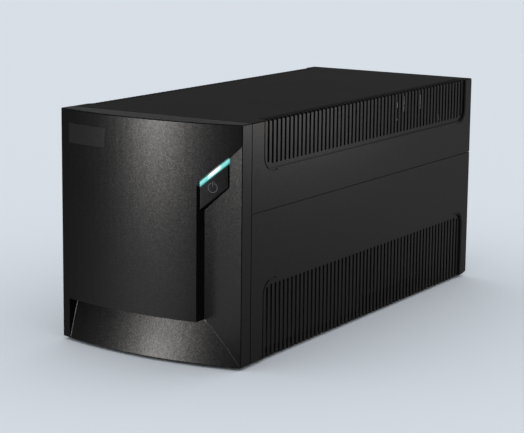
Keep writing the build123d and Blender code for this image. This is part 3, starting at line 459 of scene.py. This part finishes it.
def cut_away(piece, cutter):
    """Cuts one piece with another, which is then removed."""
    cut = piece.modifiers.new("cut", "BOOLEAN")
    cut.object = cutter
    cut.operation = "DIFFERENCE"
    apply_modifiers(piece)
    bpy.data.objects.remove(cutter)


def round_bar(low, high, axis, radius, edge, sides=24):
    """A round bar with softened ends along one axis between two corners of a box."""
    middle = (low + high) / 2
    turn = {"x": (0, math.pi / 2, 0), "y": (math.pi / 2, 0, 0), "z": (0, 0, 0)}[axis]
    length = (high - low)["xyz".index(axis)]
    bpy.ops.mesh.primitive_cylinder_add(
        vertices=sides, radius=radius, depth=length, location=middle, rotation=turn
    )
    bar = bpy.context.object
    bpy.ops.object.transform_apply(location=True, rotation=True, scale=True)
    break_edges(bar, edge, steps=3, angle=60, smooth=40)
    return bar


cross_width = 0.5 * mm
cross_span = 1.15  # the cross's length, as a share of the head's radius
cross_depth = 0.4  # a share of the head's height
head_softness = 0.45  # rounding of the head, as a share of its height


def pan_screws(node, axis, head_at, head_height, head_radius, shank_radius, steel):
    """Pan-head screws with a cross recess, in place of a node's plain ones. Each head is at the low or
    high end of its solid along the axis."""
    index = "xyz".index(axis)
    at_high = head_at == "high"
    made = []
    for low, high in solids_of(node):
        neck_low, neck_high = low.copy(), high.copy()
        neck = high[index] - head_height if at_high else low[index] + head_height
        neck_low[index] = neck_high[index] = neck
        upper, lower = (neck_low, high), (low, neck_high)
        head_box, shank_box = (upper, lower) if at_high else (lower, upper)
        head = round_bar(*head_box, axis, head_radius, head_height * head_softness)
        for sideways in (1, 2):
            middle = (low + high) / 2
            middle[index] = high[index] if at_high else low[index]
            size = Vector((cross_width, cross_width, cross_width))
            size[(index + sideways) % 3] = head_radius * cross_span
            size[index] = head_height * 2 * cross_depth
            bpy.ops.mesh.primitive_cube_add(size=1, location=middle, scale=size)
            cut_away(head, bpy.context.object)
        made += [head, round_bar(*shank_box, axis, shank_radius, 0.3 * mm, 12)]
    seat(join(made), node, steel)


def sheet_metal(name, colour, roughness, spangle):
    """Plated or galvanised steel: faint crystal spangle and fine rolling lines."""
    finish = Finish(name, colour, roughness, Metallic=1.0)
    flakes = finish.cells(spangle)
    lines = finish.noise(0.4 * mm, detail=3.0, stretch=(1, 0.06, 1))
    dull = finish.noise(25 * mm)
    darker = (flakes * 0.7 + dull * 0.3).clamped()
    finish.set(
        Base_Color=finish.blend(darker, colour, tuple(c * 0.72 for c in colour)),
        Roughness=(lines - 0.5) * 0.2 + (dull - 0.5) * 0.12 + roughness,
    )
    finish.relief(lines, 0.02 * mm)
    return finish.material


def soft_rubber(name, colour):
    """Moulded rubber with a faint bloom and pores."""
    finish = Finish(name, colour, 0.72)
    pores = finish.noise(0.6 * mm, detail=3.0)
    bloom = finish.noise(9 * mm, detail=2.0)
    finish.set(
        Base_Color=finish.blend(bloom, colour, tuple(c * 1.7 + 0.004 for c in colour)),
        Roughness=(pores - 0.5) * 0.2 + 0.74,
    )
    finish.relief(pores, 0.08 * mm)
    return finish.material


dress("rubber_feet", soft_rubber("foot_rubber", (0.018, 0.018, 0.019)), 0.7 * mm, 3)
screw_steel = sheet_metal("screw_steel", (0.55, 0.55, 0.56), 0.32, 2 * mm)
pan_screws("case_screws", "z", "low", 2.0 * mm, 2.55 * mm, 1.25 * mm, screw_steel)


# ------------------------------------------------------------------ lower base and upper cover
# Two halves of injection-moulded black plastic with a fine spark-eroded grain, screwed together. They meet
# at a reveal line, and combs of vent slots with round ends run along both sides of each, every comb in a
# shallow recess with a fine line cut round its corners.
moulding_black = (0.0037, 0.0034, 0.0039)
satin = 0.325
slot_end_round = 1.15 * mm
wall_least, wall_most = 0.9 * mm, 3 * mm
slot_end_area = 9e-6


def moulded_plastic(name, colour, roughness, grain=0.8 * mm, tip=0.02):
    """Spark-eroded plastic: a fine even grain, faint flow clouds in its sheen, hardly any colour change."""
    finish = Finish(name, colour, roughness)
    fine = finish.noise(grain, detail=3.0, rough=0.65)
    cloud = finish.noise(50 * mm, detail=2.0)
    finish.set(
        Base_Color=finish.blend(fine, tuple(c * 0.8 for c in colour), tuple(c * 1.25 for c in colour)),
        Roughness=(fine - 0.5) * 0.16 + (cloud - 0.5) * 0.06 + roughness,
    )
    finish.grit(grain, tip)
    return finish.material


case_plastic = moulded_plastic("case_plastic", moulding_black, satin)


def copy_of(node):
    """A welded copy of a CAD node's mesh with its flat faces made whole again."""
    mesh = frame["nodes"][node].data.copy()
    piece = bpy.data.objects.new(node, mesh)
    bpy.context.collection.objects.link(piece)
    form = bmesh.new()
    form.from_mesh(mesh)
    bmesh.ops.remove_doubles(form, verts=form.verts, dist=weld)
    bmesh.ops.dissolve_limit(form, angle_limit=math.radians(0.5), verts=form.verts, edges=form.edges)
    form.to_mesh(mesh)
    form.free()
    packed_normals = mesh.attributes.get("custom_normal")
    if packed_normals:
        mesh.attributes.remove(packed_normals)
    return piece


def round_slot_ends(piece):
    """Rounds the closed ends of the vent slots: the short edges through the wall where an end face meets a
    side face of a slot."""
    form = bmesh.new()
    form.from_mesh(piece.data)
    ends = []
    for edge in form.edges:
        run = edge.verts[1].co - edge.verts[0].co
        if len(edge.link_faces) != 2 or not wall_least < run.length < wall_most:
            continue
        sides = [face for face in edge.link_faces if abs(face.normal.y) > 0.9]
        level = [face for face in edge.link_faces if abs(face.normal.y) < 0.1]
        caps = [face for face in level if face.calc_area() < slot_end_area]
        if len(sides) == 1 and len(caps) == 1 and abs(run.y) < 0.1 * mm:
            ends.append(edge)
    bmesh.ops.bevel(
        form, geom=ends, offset=slot_end_round, segments=5, profile=0.5, affect="EDGES", clamp_overlap=True
    )
    form.to_mesh(piece.data)
    form.free()


recess_front, recess_back = -138.0 * mm, 164.7 * mm
recess_corner = 9.0 * mm
corner_steps = 10
line_gap, line_width, line_depth, line_tail = 0.6 * mm, 1.1 * mm, 0.6 * mm, 6 * mm
cover_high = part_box("upper_cover")[1]
rib_tip_round = 1.8 * mm


def is_rib_tip(first, second, angle):
    """An edge where the face of a rib turns over onto the top."""
    at_top = min(first.z, second.z) > cover_high.z - 0.05 * mm
    lengthwise = abs(first.x - second.x) < 0.01 * mm
    return angle > 60 and at_top and lengthwise and 1.2 * mm < abs(first.y - second.y) < 8 * mm


def recess_line(closed, open_end, end, inward, side):
    """A bar bent round one corner of a comb's recess, for cutting the fine line just outside it. The
    recess is closed at z = closed and runs out at open_end."""
    up = 1 if open_end > closed else -1
    form = bmesh.new()
    rings = []
    for step in range(-1, corner_steps + 1):
        ring = []
        turn = math.radians(90 * max(0, step) / corner_steps)
        for outer, proud in ((1, 1), (1, -1), (0, -1), (0, 1)):
            radius = recess_corner + line_gap + outer * line_width
            x = cover_high.x + proud * line_depth
            y = recess_corner - radius * math.cos(turn)
            z = recess_corner - radius * math.sin(turn)
            if step == -1:
                z = abs(open_end - closed) + mm
            ring.append(form.verts.new((side * x, end + inward * y, closed + up * z)))
        rings.append(ring)
    rings.append([form.verts.new(v.co + Vector((0, inward * line_tail, 0))) for v in rings[-1]])
    for first, second in zip(rings, rings[1:]):
        for k in range(4):
            form.faces.new((first[k], first[(k + 1) % 4], second[(k + 1) % 4], second[k]))
    form.faces.new(rings[0])
    form.faces.new(rings[-1])
    bmesh.ops.recalc_face_normals(form, faces=form.faces)
    mesh = bpy.data.meshes.new("recess line")
    form.to_mesh(mesh)
    form.free()
    cutter = bpy.data.objects.new("recess line", mesh)
    bpy.context.collection.objects.link(cutter)
    return cutter


shells = []
for half, closed, open_end in (("lower_base", 55 * mm, 2 * mm), ("upper_cover", 131 * mm, cover_high.z)):
    shell = copy_of(half)
    shells.append(shell)
    round_slot_ends(shell)
    outline = join(
        [
            recess_line(closed, open_end, end, inward, side)
            for end, inward in ((recess_front, 1), (recess_back, -1))
            for side in (-1, 1)
        ]
    )
    cut_away(shell, outline)
    round_edges(shell, rib_tip_round, 4, is_rib_tip)
    break_edges(shell, 0.25 * mm)
    seat(shell, half, case_plastic)


# ------------------------------------------------------------------ batteries and their bracket
# Two sealed lead-acid blocks stand side by side: an ABS case, a lid welded on in a slightly lighter grey
# and tinned tabs. A bent galvanised strap, screwed down, holds them to the floor of the base.
battery_plastic = moulded_plastic("battery_case", (0.030, 0.031, 0.034), 0.45, 1.6 * mm)
battery_cap = moulded_plastic("battery_lid", (0.050, 0.051, 0.055), 0.5, 1.6 * mm)
for number in (1, 2):
    dress(f"battery_case_{number}", battery_plastic, 0.6 * mm, 3)
    dress(f"battery_lid_{number}", battery_cap, 0.4 * mm, 3)
tinned = sheet_metal("terminal", (0.75, 0.72, 0.62), 0.3, 3 * mm)
dress("battery_terminals", tinned, 0.12 * mm)
galvanised = sheet_metal("bracket_steel", (0.60, 0.61, 0.62), 0.38, 9 * mm)
dress("battery_bracket", galvanised, 0.3 * mm)
pan_screws("bracket_screws", "z", "high", 2.0 * mm, 2.55 * mm, 1.25 * mm, screw_steel)


# ------------------------------------------------------------------ transformer
# A low-frequency transformer: a stack of varnished steel laminations, a nylon former and a layered copper
# winding under clear tape, held down by a bent steel strap.
def laminated_steel():
    """Sheets 0.5 mm thick on edge, varnished, with a thin dark line at each joint."""
    finish = Finish("core_steel", (0.16, 0.155, 0.15), 0.42, Metallic=0.9)
    _, y, _ = finish.axes()
    joint = (y / (0.5 * mm)).part()
    rust = finish.noise(7 * mm, detail=4.0)
    line = (joint > 0.82) * 0.6
    bare = finish.blend(rust, (0.15, 0.15, 0.155), (0.20, 0.16, 0.12))
    finish.set(Base_Color=finish.blend(line, bare, (0.03, 0.028, 0.026)), Roughness=rust * 0.25 + 0.32)
    finish.relief(1.0 - line, 0.08 * mm)
    return finish.material


def wound_copper():
    """Turns of enamelled wire side by side under clear tape, darkened towards each turn's edge by painted
    shade in the grooves between them.
    """
    finish = Finish(
        "winding", (0.42, 0.17, 0.06), 0.35, Metallic=0.75, Coat_Weight=0.6, Coat_Roughness=0.25
    )
    _, _, z = finish.axes()
    turn = ((z / (1.3 * mm)).part() - 0.5).size() * 2.0
    uneven = finish.noise(5 * mm, detail=3.0)
    # Painted shade: the copper is darkened towards the edge of each turn, where the grooves between the
    # turns lie.
    finish.set(
        Base_Color=finish.blend(turn**3.0, (0.46, 0.19, 0.07), (0.10, 0.035, 0.015)),
        Roughness=uneven * 0.2 + 0.28,
    )
    finish.relief(1.0 - turn * turn, 0.4 * mm)
    return finish.material


dress("transformer_core", laminated_steel(), 0.3 * mm)
dress("transformer_former", moulded_plastic("former", (0.50, 0.44, 0.30), 0.5, 2 * mm), 0.25 * mm)
dress("transformer_winding", wound_copper(), 1.5 * mm, 3)
dress("transformer_bracket", galvanised, 0.3 * mm)


# ------------------------------------------------------------------ power board and its components
# A green glass-fibre board on nylon spacers carries finned aluminium heat sinks with their transistors,
# electrolytic cans, relays, a wound choke, a buzzer, the control chip, blade fuses and white headers.
def solder_mask(name):
    """Green lacquer over copper tracks, with rows of tinned pads that show through."""
    finish = Finish(name, (0.02, 0.12, 0.05), 0.3, Coat_Weight=0.3)
    x, y, z = finish.axes()
    tracks = finish.cells(5 * mm, "DISTANCE_TO_EDGE")
    copper = tracks < 0.09
    across_pad = ((x / (2.54 * mm)).part() - 0.5).size()
    along_pad = (((y + z) / (2.54 * mm)).part() - 0.5).size()
    inside = (across_pad * across_pad + along_pad * along_pad).root() < 0.2
    pads = inside * (finish.noise(14 * mm, detail=0.0) > 0.56)
    lacquer = finish.blend(copper, (0.012, 0.10, 0.042), (0.025, 0.17, 0.06))
    finish.set(
        Base_Color=finish.blend(pads, lacquer, (0.62, 0.60, 0.56)),
        Metallic=pads * 0.9,
        Roughness=finish.noise(3 * mm) * 0.15 + 0.25,
    )
    finish.relief((copper + pads).clamped(), 0.05 * mm)
    return finish.material


def extruded_aluminium():
    """Bare extrusion with fine die lines along the fins."""
    finish = Finish("sink_aluminium", (0.56, 0.57, 0.58), 0.38, Metallic=1.0)
    lines = finish.noise(0.3 * mm, detail=3.0, stretch=(1, 1, 0.04))
    finish.set(
        Base_Color=finish.blend(lines, (0.50, 0.51, 0.52), (0.62, 0.63, 0.64)),
        Roughness=(lines - 0.5) * 0.3 + 0.38,
    )
    finish.relief(lines, 0.02 * mm)
    return finish.material


def glossy_moulding(name, colour, roughness=0.22):
    """Polished plastic with faint sink marks and dust-dulled patches."""
    finish = Finish(name, colour, roughness)
    sink = finish.noise(12 * mm, detail=1.0)
    dust = finish.noise(2 * mm, detail=4.0)
    finish.set(
        Base_Color=finish.blend(sink, tuple(c * 0.9 for c in colour), tuple(c * 1.1 for c in colour)),
        Roughness=dust * 0.14 + roughness,
    )
    finish.relief(sink, 0.10 * mm)
    return finish.material


board_green = solder_mask("circuit_board")
dress("power_board", board_green, 0.15 * mm)
dress("board_spacers", moulded_plastic("spacer_nylon", (0.72, 0.71, 0.66), 0.4, 2 * mm), 0.25 * mm)
aluminium = extruded_aluminium()
for number in (1, 2):
    dress(f"heat_sink_{number}", aluminium, 0.2 * mm)
part_black = moulded_plastic("part_plastic", (0.022, 0.022, 0.023), 0.4, tip=0.015)
dress("transistors", part_black, 0.2 * mm)
dress("control_chip", part_black, 0.12 * mm)
dress("relays", glossy_moulding("relay_plastic", (0.04, 0.12, 0.30)), 0.4 * mm, 3)
dress("battery_fuses", glossy_moulding("fuse_plastic", (0.06, 0.42, 0.12), 0.18), 0.4 * mm)
header_white = moulded_plastic("plug_plastic", (0.74, 0.73, 0.67), 0.4, 2 * mm, 0.015)
dress("terminal_blocks", header_white, 0.25 * mm)

def inset_top(piece, rim):
    """Insets the top of the active piece by `rim`. It stays in edit mode with the inner face selected."""
    bpy.ops.object.mode_set(mode="EDIT")
    bpy.ops.mesh.select_all(action="DESELECT")
    shape = bmesh.from_edit_mesh(piece.data)
    for face in shape.faces:
        face.select = face.normal.z > 0.99
    bmesh.update_edit_mesh(piece.data)
    bpy.ops.mesh.inset(thickness=rim)


sleeve = Finish("capacitor_sleeve", (0.03, 0.04, 0.10), 0.22)
_, _, sleeve_z = sleeve.axes()
bare_top = sleeve_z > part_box("capacitors")[1].z - 0.4 * mm
sleeve_colour = sleeve.blend(sleeve.noise(6 * mm), (0.025, 0.035, 0.09), (0.035, 0.05, 0.12))
sleeve.set(
    Base_Color=sleeve.blend(bare_top, sleeve_colour, (0.62, 0.62, 0.63)),
    Metallic=bare_top,
    Roughness=sleeve.noise(2 * mm) * 0.12 + 0.18,
)
cans = []
for low, high in solids_of("capacitors"):
    radius = min(high.x - low.x, high.y - low.y) / 2
    can = round_bar(low, high, "z", radius, 0.8 * mm, 32)
    inset_top(can, 0.6 * mm)
    bpy.ops.transform.translate(value=(0, 0, -0.3 * mm))
    bpy.ops.object.mode_set(mode="OBJECT")
    cans.append(can)
seat(join(cans), "capacitors", sleeve.material)

choke_wire = Finish("choke_ferrite", (0.36, 0.20, 0.06), 0.35, Metallic=0.5)
choke_x, choke_y, _ = choke_wire.axes()
choke_low, choke_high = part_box("filter_choke")
choke_middle = (choke_low + choke_high) / 2
angle = choke_wire.node(
    "Math", {"operation": "ARCTAN2"}, {0: choke_y - choke_middle.y, 1: choke_x - choke_middle.x}
).value("Value")
turns = ((angle * (30 / math.pi)).part() - 0.5).size() * 2.0
# Painted shade: the copper is darkened towards the edge of each turn, where the grooves between the turns
# lie.
choke_wire.set(
    Base_Color=choke_wire.blend(turns**3.0, (0.46, 0.24, 0.08), (0.12, 0.05, 0.02)),
    Roughness=choke_wire.noise(2 * mm) * 0.2 + 0.28,
)
choke_wire.relief(1.0 - turns * turns, 0.5 * mm)
dress("filter_choke", choke_wire.material, 1.2 * mm, 3)

buzzer_low, buzzer_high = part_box("buzzer")
buzzer_radius = min(buzzer_high.x - buzzer_low.x, buzzer_high.y - buzzer_low.y) / 2
buzzer = round_bar(buzzer_low, buzzer_high, "z", buzzer_radius, 0.6 * mm, 40)
inset_top(buzzer, 4.6 * mm)
bpy.ops.mesh.extrude_region_move(TRANSFORM_OT_translate={"value": (0, 0, -3 * mm)})
bpy.ops.object.mode_set(mode="OBJECT")
seat(buzzer, "buzzer", part_black)


# ------------------------------------------------------------------ battery leads
# Thick stranded copper in black and red PVC, crimped to the battery tabs and to the board, with a short
# link between the two blocks.
def lead_sheath(name, colour):
    """Matt PVC with the faint twist of the strands showing through."""
    finish = Finish(name, colour, 0.42)
    x, y, z = finish.axes()
    twist = (((x + y + z) / (4 * mm)).part() - 0.5).size() * 2.0
    scuff = finish.noise(3 * mm, detail=3.0)
    finish.set(
        Base_Color=finish.blend(scuff, colour, tuple(c * 1.3 + 0.003 for c in colour)),
        Roughness=scuff * 0.15 + 0.38,
    )
    finish.relief(twist, 0.05 * mm)
    return finish.material


black_sheath = lead_sheath("lead_black", (0.018, 0.018, 0.019))
for node, material in (
    ("negative_lead", black_sheath),
    ("battery_link", black_sheath),
    ("positive_lead", lead_sheath("lead_red", (0.42, 0.018, 0.015))),
):
    wire = copy_of(node)
    rounder = wire.modifiers.new("round", "SUBSURF")
    rounder.levels = rounder.render_levels = 2
    apply_modifiers(wire)
    bpy.ops.object.shade_smooth()
    seat(wire, node, material)


# ------------------------------------------------------------------ rear panel, outlets and inlet
# A flat moulded panel slides between ribs of the two halves. Six three-pin outlets snap into it and the
# earthed inlet is screwed to it. Every socket is glossy black thermoplastic with tinned contacts.
panel_plastic = moulded_plastic("panel_plastic", (0.010, 0.010, 0.011), 0.42, 1.1 * mm)
dress("rear_panel", panel_plastic, 0.25 * mm)
socket_black = glossy_moulding("socket_plastic", (0.012, 0.012, 0.013), 0.26)
for number in range(1, 7):
    dress(f"outlet_{number}", socket_black, 0.3 * mm, 3)
dress("outlet_contacts", tinned, 0.12 * mm)
dress("ac_inlet", socket_black, 0.3 * mm, 3)
dress("inlet_pins", tinned, 0.35 * mm, 3)
pan_screws("panel_screws", "y", "high", 2.0 * mm, 2.55 * mm, 1.25 * mm, screw_steel)


# ------------------------------------------------------------------ circuit breaker
# A push-to-reset breaker: its threaded neck comes through the panel, a plated nut clamps it, and a round
# button stands in the neck.
dress("breaker_body", part_black, 0.2 * mm)
nickel = sheet_metal("port_metal", (0.62, 0.62, 0.62), 0.25, 4 * mm)
dress("breaker_nut", nickel, 0.3 * mm)
pin_low, pin_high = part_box("breaker_button")
pin_radius = min(pin_high.x - pin_low.x, pin_high.z - pin_low.z) / 2
seat(round_bar(pin_low, pin_high, "y", pin_radius, 0.5 * mm, 40), "breaker_button", part_black)


# ------------------------------------------------------------------ data ports
# A small board behind the panel carries a plated square data socket with a black insert, and a pair of
# network jacks moulded as one block. Both are soldered to it and come up to openings in the panel.
dress("port_board", board_green, 0.15 * mm)
dress("usb_shell", nickel, 0.15 * mm)
port_black = moulded_plastic("port_plastic", (0.026, 0.026, 0.028), 0.42, 1.0 * mm, 0.015)
dress("usb_insert", port_black, 0.15 * mm)
dress("network_jacks", port_black, 0.2 * mm)


# ------------------------------------------------------------------ cooling fan
# A 60 mm axial fan in a moulded black frame behind the panel's grille, held by the screws at its corners:
# four struts carry the hub, and seven raked blades turn round it.
fan_plastic = moulded_plastic("fan_plastic", (0.018, 0.018, 0.019), 0.36, 1.2 * mm, 0.015)
dress("fan_frame", fan_plastic, 0.25 * mm)
dress("fan_rotor", fan_plastic, 0.2 * mm)


# ------------------------------------------------------------------ front bezel
# One tall black moulding, bowed across its face, closes the front of the two halves. A raised panel stands
# above a hollow that runs down its right side and under it. The flat strip beside it meets the sloping
# foot in a mitred valley.
face_low, face_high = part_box("front_bezel")
half_width = face_high.x
crown = 10.3 * mm
crown_radius = (half_width**2 + crown**2) / (2 * crown)
foot_depth = 9.8 * mm
foot_height = 28.5 * mm
near_face = 0.12 * mm
notch_wall = -67 * mm
valley_reach = 14 * mm


def face_y(x, inset=0.0):
    """The bowed face's y at x, or that of a face set back behind it."""
    return face_low.y + crown_radius - math.sqrt((crown_radius - inset) ** 2 - min(abs(x), half_width) ** 2)


def bow(piece, *insets, step=5 * mm):
    """Slices a piece upright and moves its faceted bowed faces onto the exact arc."""
    form = bmesh.new()
    form.from_mesh(piece.data)
    for count in range(math.ceil(face_low.x / step), math.ceil(face_high.x / step)):
        bmesh.ops.bisect_plane(
            form,
            geom=form.verts[:] + form.edges[:] + form.faces[:],
            plane_co=(count * step, 0, 0),
            plane_no=(1, 0, 0),
            dist=0.02 * mm,
        )
    for corner in form.verts:
        x, y, z = corner.co
        lean = max(0.0, min(z - face_low.z, foot_height)) * foot_depth / foot_height
        for true_y in [face_y(x, inset) for inset in insets] + [face_y(x) + lean]:
            if abs(y - true_y) < near_face:
                corner.co.y = true_y
    form.to_mesh(piece.data)
    form.free()


def beside_slope(first, second, angle):
    """The inner corner between the slope and the notch's left wall."""
    tall = abs(first.z - second.z) > 20 * mm
    return angle < -95 and tall and abs(first.x - notch_wall) < 0.1 * mm


def in_valley(first, second, angle):
    """The mitred valley between the slope and the strip."""
    return -30 < angle < -22 and max(first.y, second.y) < face_low.y + valley_reach


bezel = copy_of("front_bezel")
round_edges(bezel, 1.3 * mm, 6, beside_slope)
round_edges(bezel, 0.7 * mm, 3, in_valley)
bow(bezel, 0.0)
break_edges(bezel, 0.3 * mm, steps=3, angle=15, smooth=70)
seat(bezel, "front_bezel", case_plastic)


# ------------------------------------------------------------------ badge place
# A thin plastic plate stuck to the bowed face at its upper left and bent to it, a shade lighter than the
# moulding. It is left bare.
badge_left, badge_right = -65.5 * mm, -30.0 * mm
badge_low, badge_high = 141.0 * mm, 154.6 * mm
badge_thickness = 0.3 * mm
bpy.ops.mesh.primitive_grid_add(x_subdivisions=24, y_subdivisions=2, size=1)
badge = bpy.context.object
badge.name = "badge_plate"
for corner in badge.data.vertices:
    x = badge_left + (corner.co.x + 0.5) * (badge_right - badge_left)
    z = badge_low + (corner.co.y + 0.5) * (badge_high - badge_low)
    corner.co = (x, face_y(x) - badge_thickness, z)
thicken = badge.modifiers.new("thickness", "SOLIDIFY")
thicken.thickness = badge_thickness * 1.2
thicken.offset = -1
break_edges(badge, 0.1 * mm)
badge.data.materials.append(moulded_plastic("badge_plate", (0.012, 0.012, 0.012), 0.33, 0.6 * mm, 0.01))
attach(badge, "case")


# ------------------------------------------------------------------ power key and light bar
# The key is the same black plastic, a little smoother, with the standby sign printed in faint grey. The
# bar above it is a clear teal guide, lit from behind so that its middle burns white.
key_finish = Finish("key_plastic", moulding_black, 0.30)
key_grain = key_finish.noise(1.1 * mm, detail=3.0, rough=0.65)
key_x, _, key_z = key_finish.axes()
sign_x, sign_z = 53.4 * mm, 121.5 * mm
sign_radius, sign_line, sign_gap = 3.1 * mm, 0.26 * mm, 1.1 * mm
stroke_rise, stroke_reach = 2.4 * mm, 1.7 * mm
from_x, from_z = key_x - sign_x, key_z - sign_z
from_middle = (from_x * from_x + from_z * from_z).root()
opening = (from_x.size() < sign_gap) * (from_z > 0.0)
ring = ((from_middle - sign_radius).size() < sign_line) * (1.0 - opening)
stroke = (from_x.size() < sign_line) * ((from_z - stroke_rise).size() < stroke_reach)
sign = (ring + stroke).clamped()
key_finish.set(
    Base_Color=key_finish.blend(sign, moulding_black, (0.075, 0.075, 0.08)),
    Roughness=(key_grain - 0.5) * 0.16 + 0.33,
)
key_finish.grit(0.8 * mm, 0.02)
key = copy_of("power_button")
bow(key, 2.3 * mm)
break_edges(key, 0.5 * mm, steps=3)
seat(key, "power_button", key_finish.material)

bar_low, bar_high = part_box("light_bar")
bar_height = 3.55 * mm
lamp_share, lamp_narrowness = 0.52, 4.1
foot_fade = 1.6 * mm
bar_finish = Finish("light_guide", (0.10, 0.42, 0.40), 0.25, Emission_Strength=1.0)
bar_x, _, bar_z = bar_finish.axes()
share = (bar_x - bar_low.x) / (bar_high.x - bar_low.x)
from_lamp = (share - lamp_share).size()
slant = (bar_high.z - bar_low.z - bar_height) / (bar_high.x - bar_low.x)
from_foot = bar_z - bar_low.z - (bar_x - bar_low.x) * slant
lit = (from_foot / foot_fade - 0.1).clamped()
hot = (1.0 - (from_lamp * lamp_narrowness) ** 4.0).clamped() * lit
cloudy = bar_finish.noise(2.5 * mm, detail=2.0)
glass = bar_finish.blend(cloudy, (0.10, 0.38, 0.34), (0.24, 0.60, 0.55))
teal = bar_finish.blend(lit, (0.02, 0.06, 0.055), glass)
bar_finish.set(Emission_Color=bar_finish.blend(hot, teal, (0.95, 1.0, 0.99)), Roughness=cloudy * 0.1 + 0.2)
bar = copy_of("light_bar")
bow(bar, 2.1 * mm)
break_edges(bar, 0.2 * mm)
seat(bar, "light_bar", bar_finish.material)


def group_of(name, *pieces):
    """A collection that a lamp's light is linked to."""
    group = bpy.data.collections.new(name)
    for piece in pieces:
        group.objects.link(piece)
    return group


front_softbox.light_linking.receiver_collection = group_of("lit_front", bezel, badge, key, bar)
front_softbox.light_linking.blocker_collection = group_of("shading_front", badge)
side_softbox.light_linking.receiver_collection = group_of("lit_side", bezel, *shells)
rim_softbox.light_linking.receiver_collection = group_of("lit_rim", bezel)


# ------------------------------------------------------------------ front board
# A small board on bosses behind the key carries its switch and the three lamps of the light bar, and a
# flat ribbon joins it to the power board.
dress("front_board", board_green, 0.15 * mm)
pan_screws("front_board_screws", "y", "high", 2.0 * mm, 1.9 * mm, 0.85 * mm, screw_steel)
dress("tact_switch", part_black, 0.15 * mm)
dress("status_leds", glossy_moulding("led", (0.80, 0.86, 0.80), 0.12), 0.3 * mm, 3)
dress("ribbon_plugs", header_white, 0.25 * mm)
ribbon = Finish("ribbon", (0.40, 0.40, 0.41), 0.45)
ribbon_x, _, _ = ribbon.axes()
core = ((ribbon_x / (1.27 * mm)).part() - 0.5).size() * 2.0
# Painted shade: the grey is darkened between the conductors, where the ribbon's grooves lie.
ribbon.set(
    Base_Color=ribbon.blend(core**4.0, (0.42, 0.42, 0.43), (0.20, 0.20, 0.21)),
    Roughness=ribbon.noise(3 * mm) * 0.15 + 0.4,
)
ribbon.relief(1.0 - core * core, 0.3 * mm)
dress("ribbon_cable", ribbon.material, 0.1 * mm)
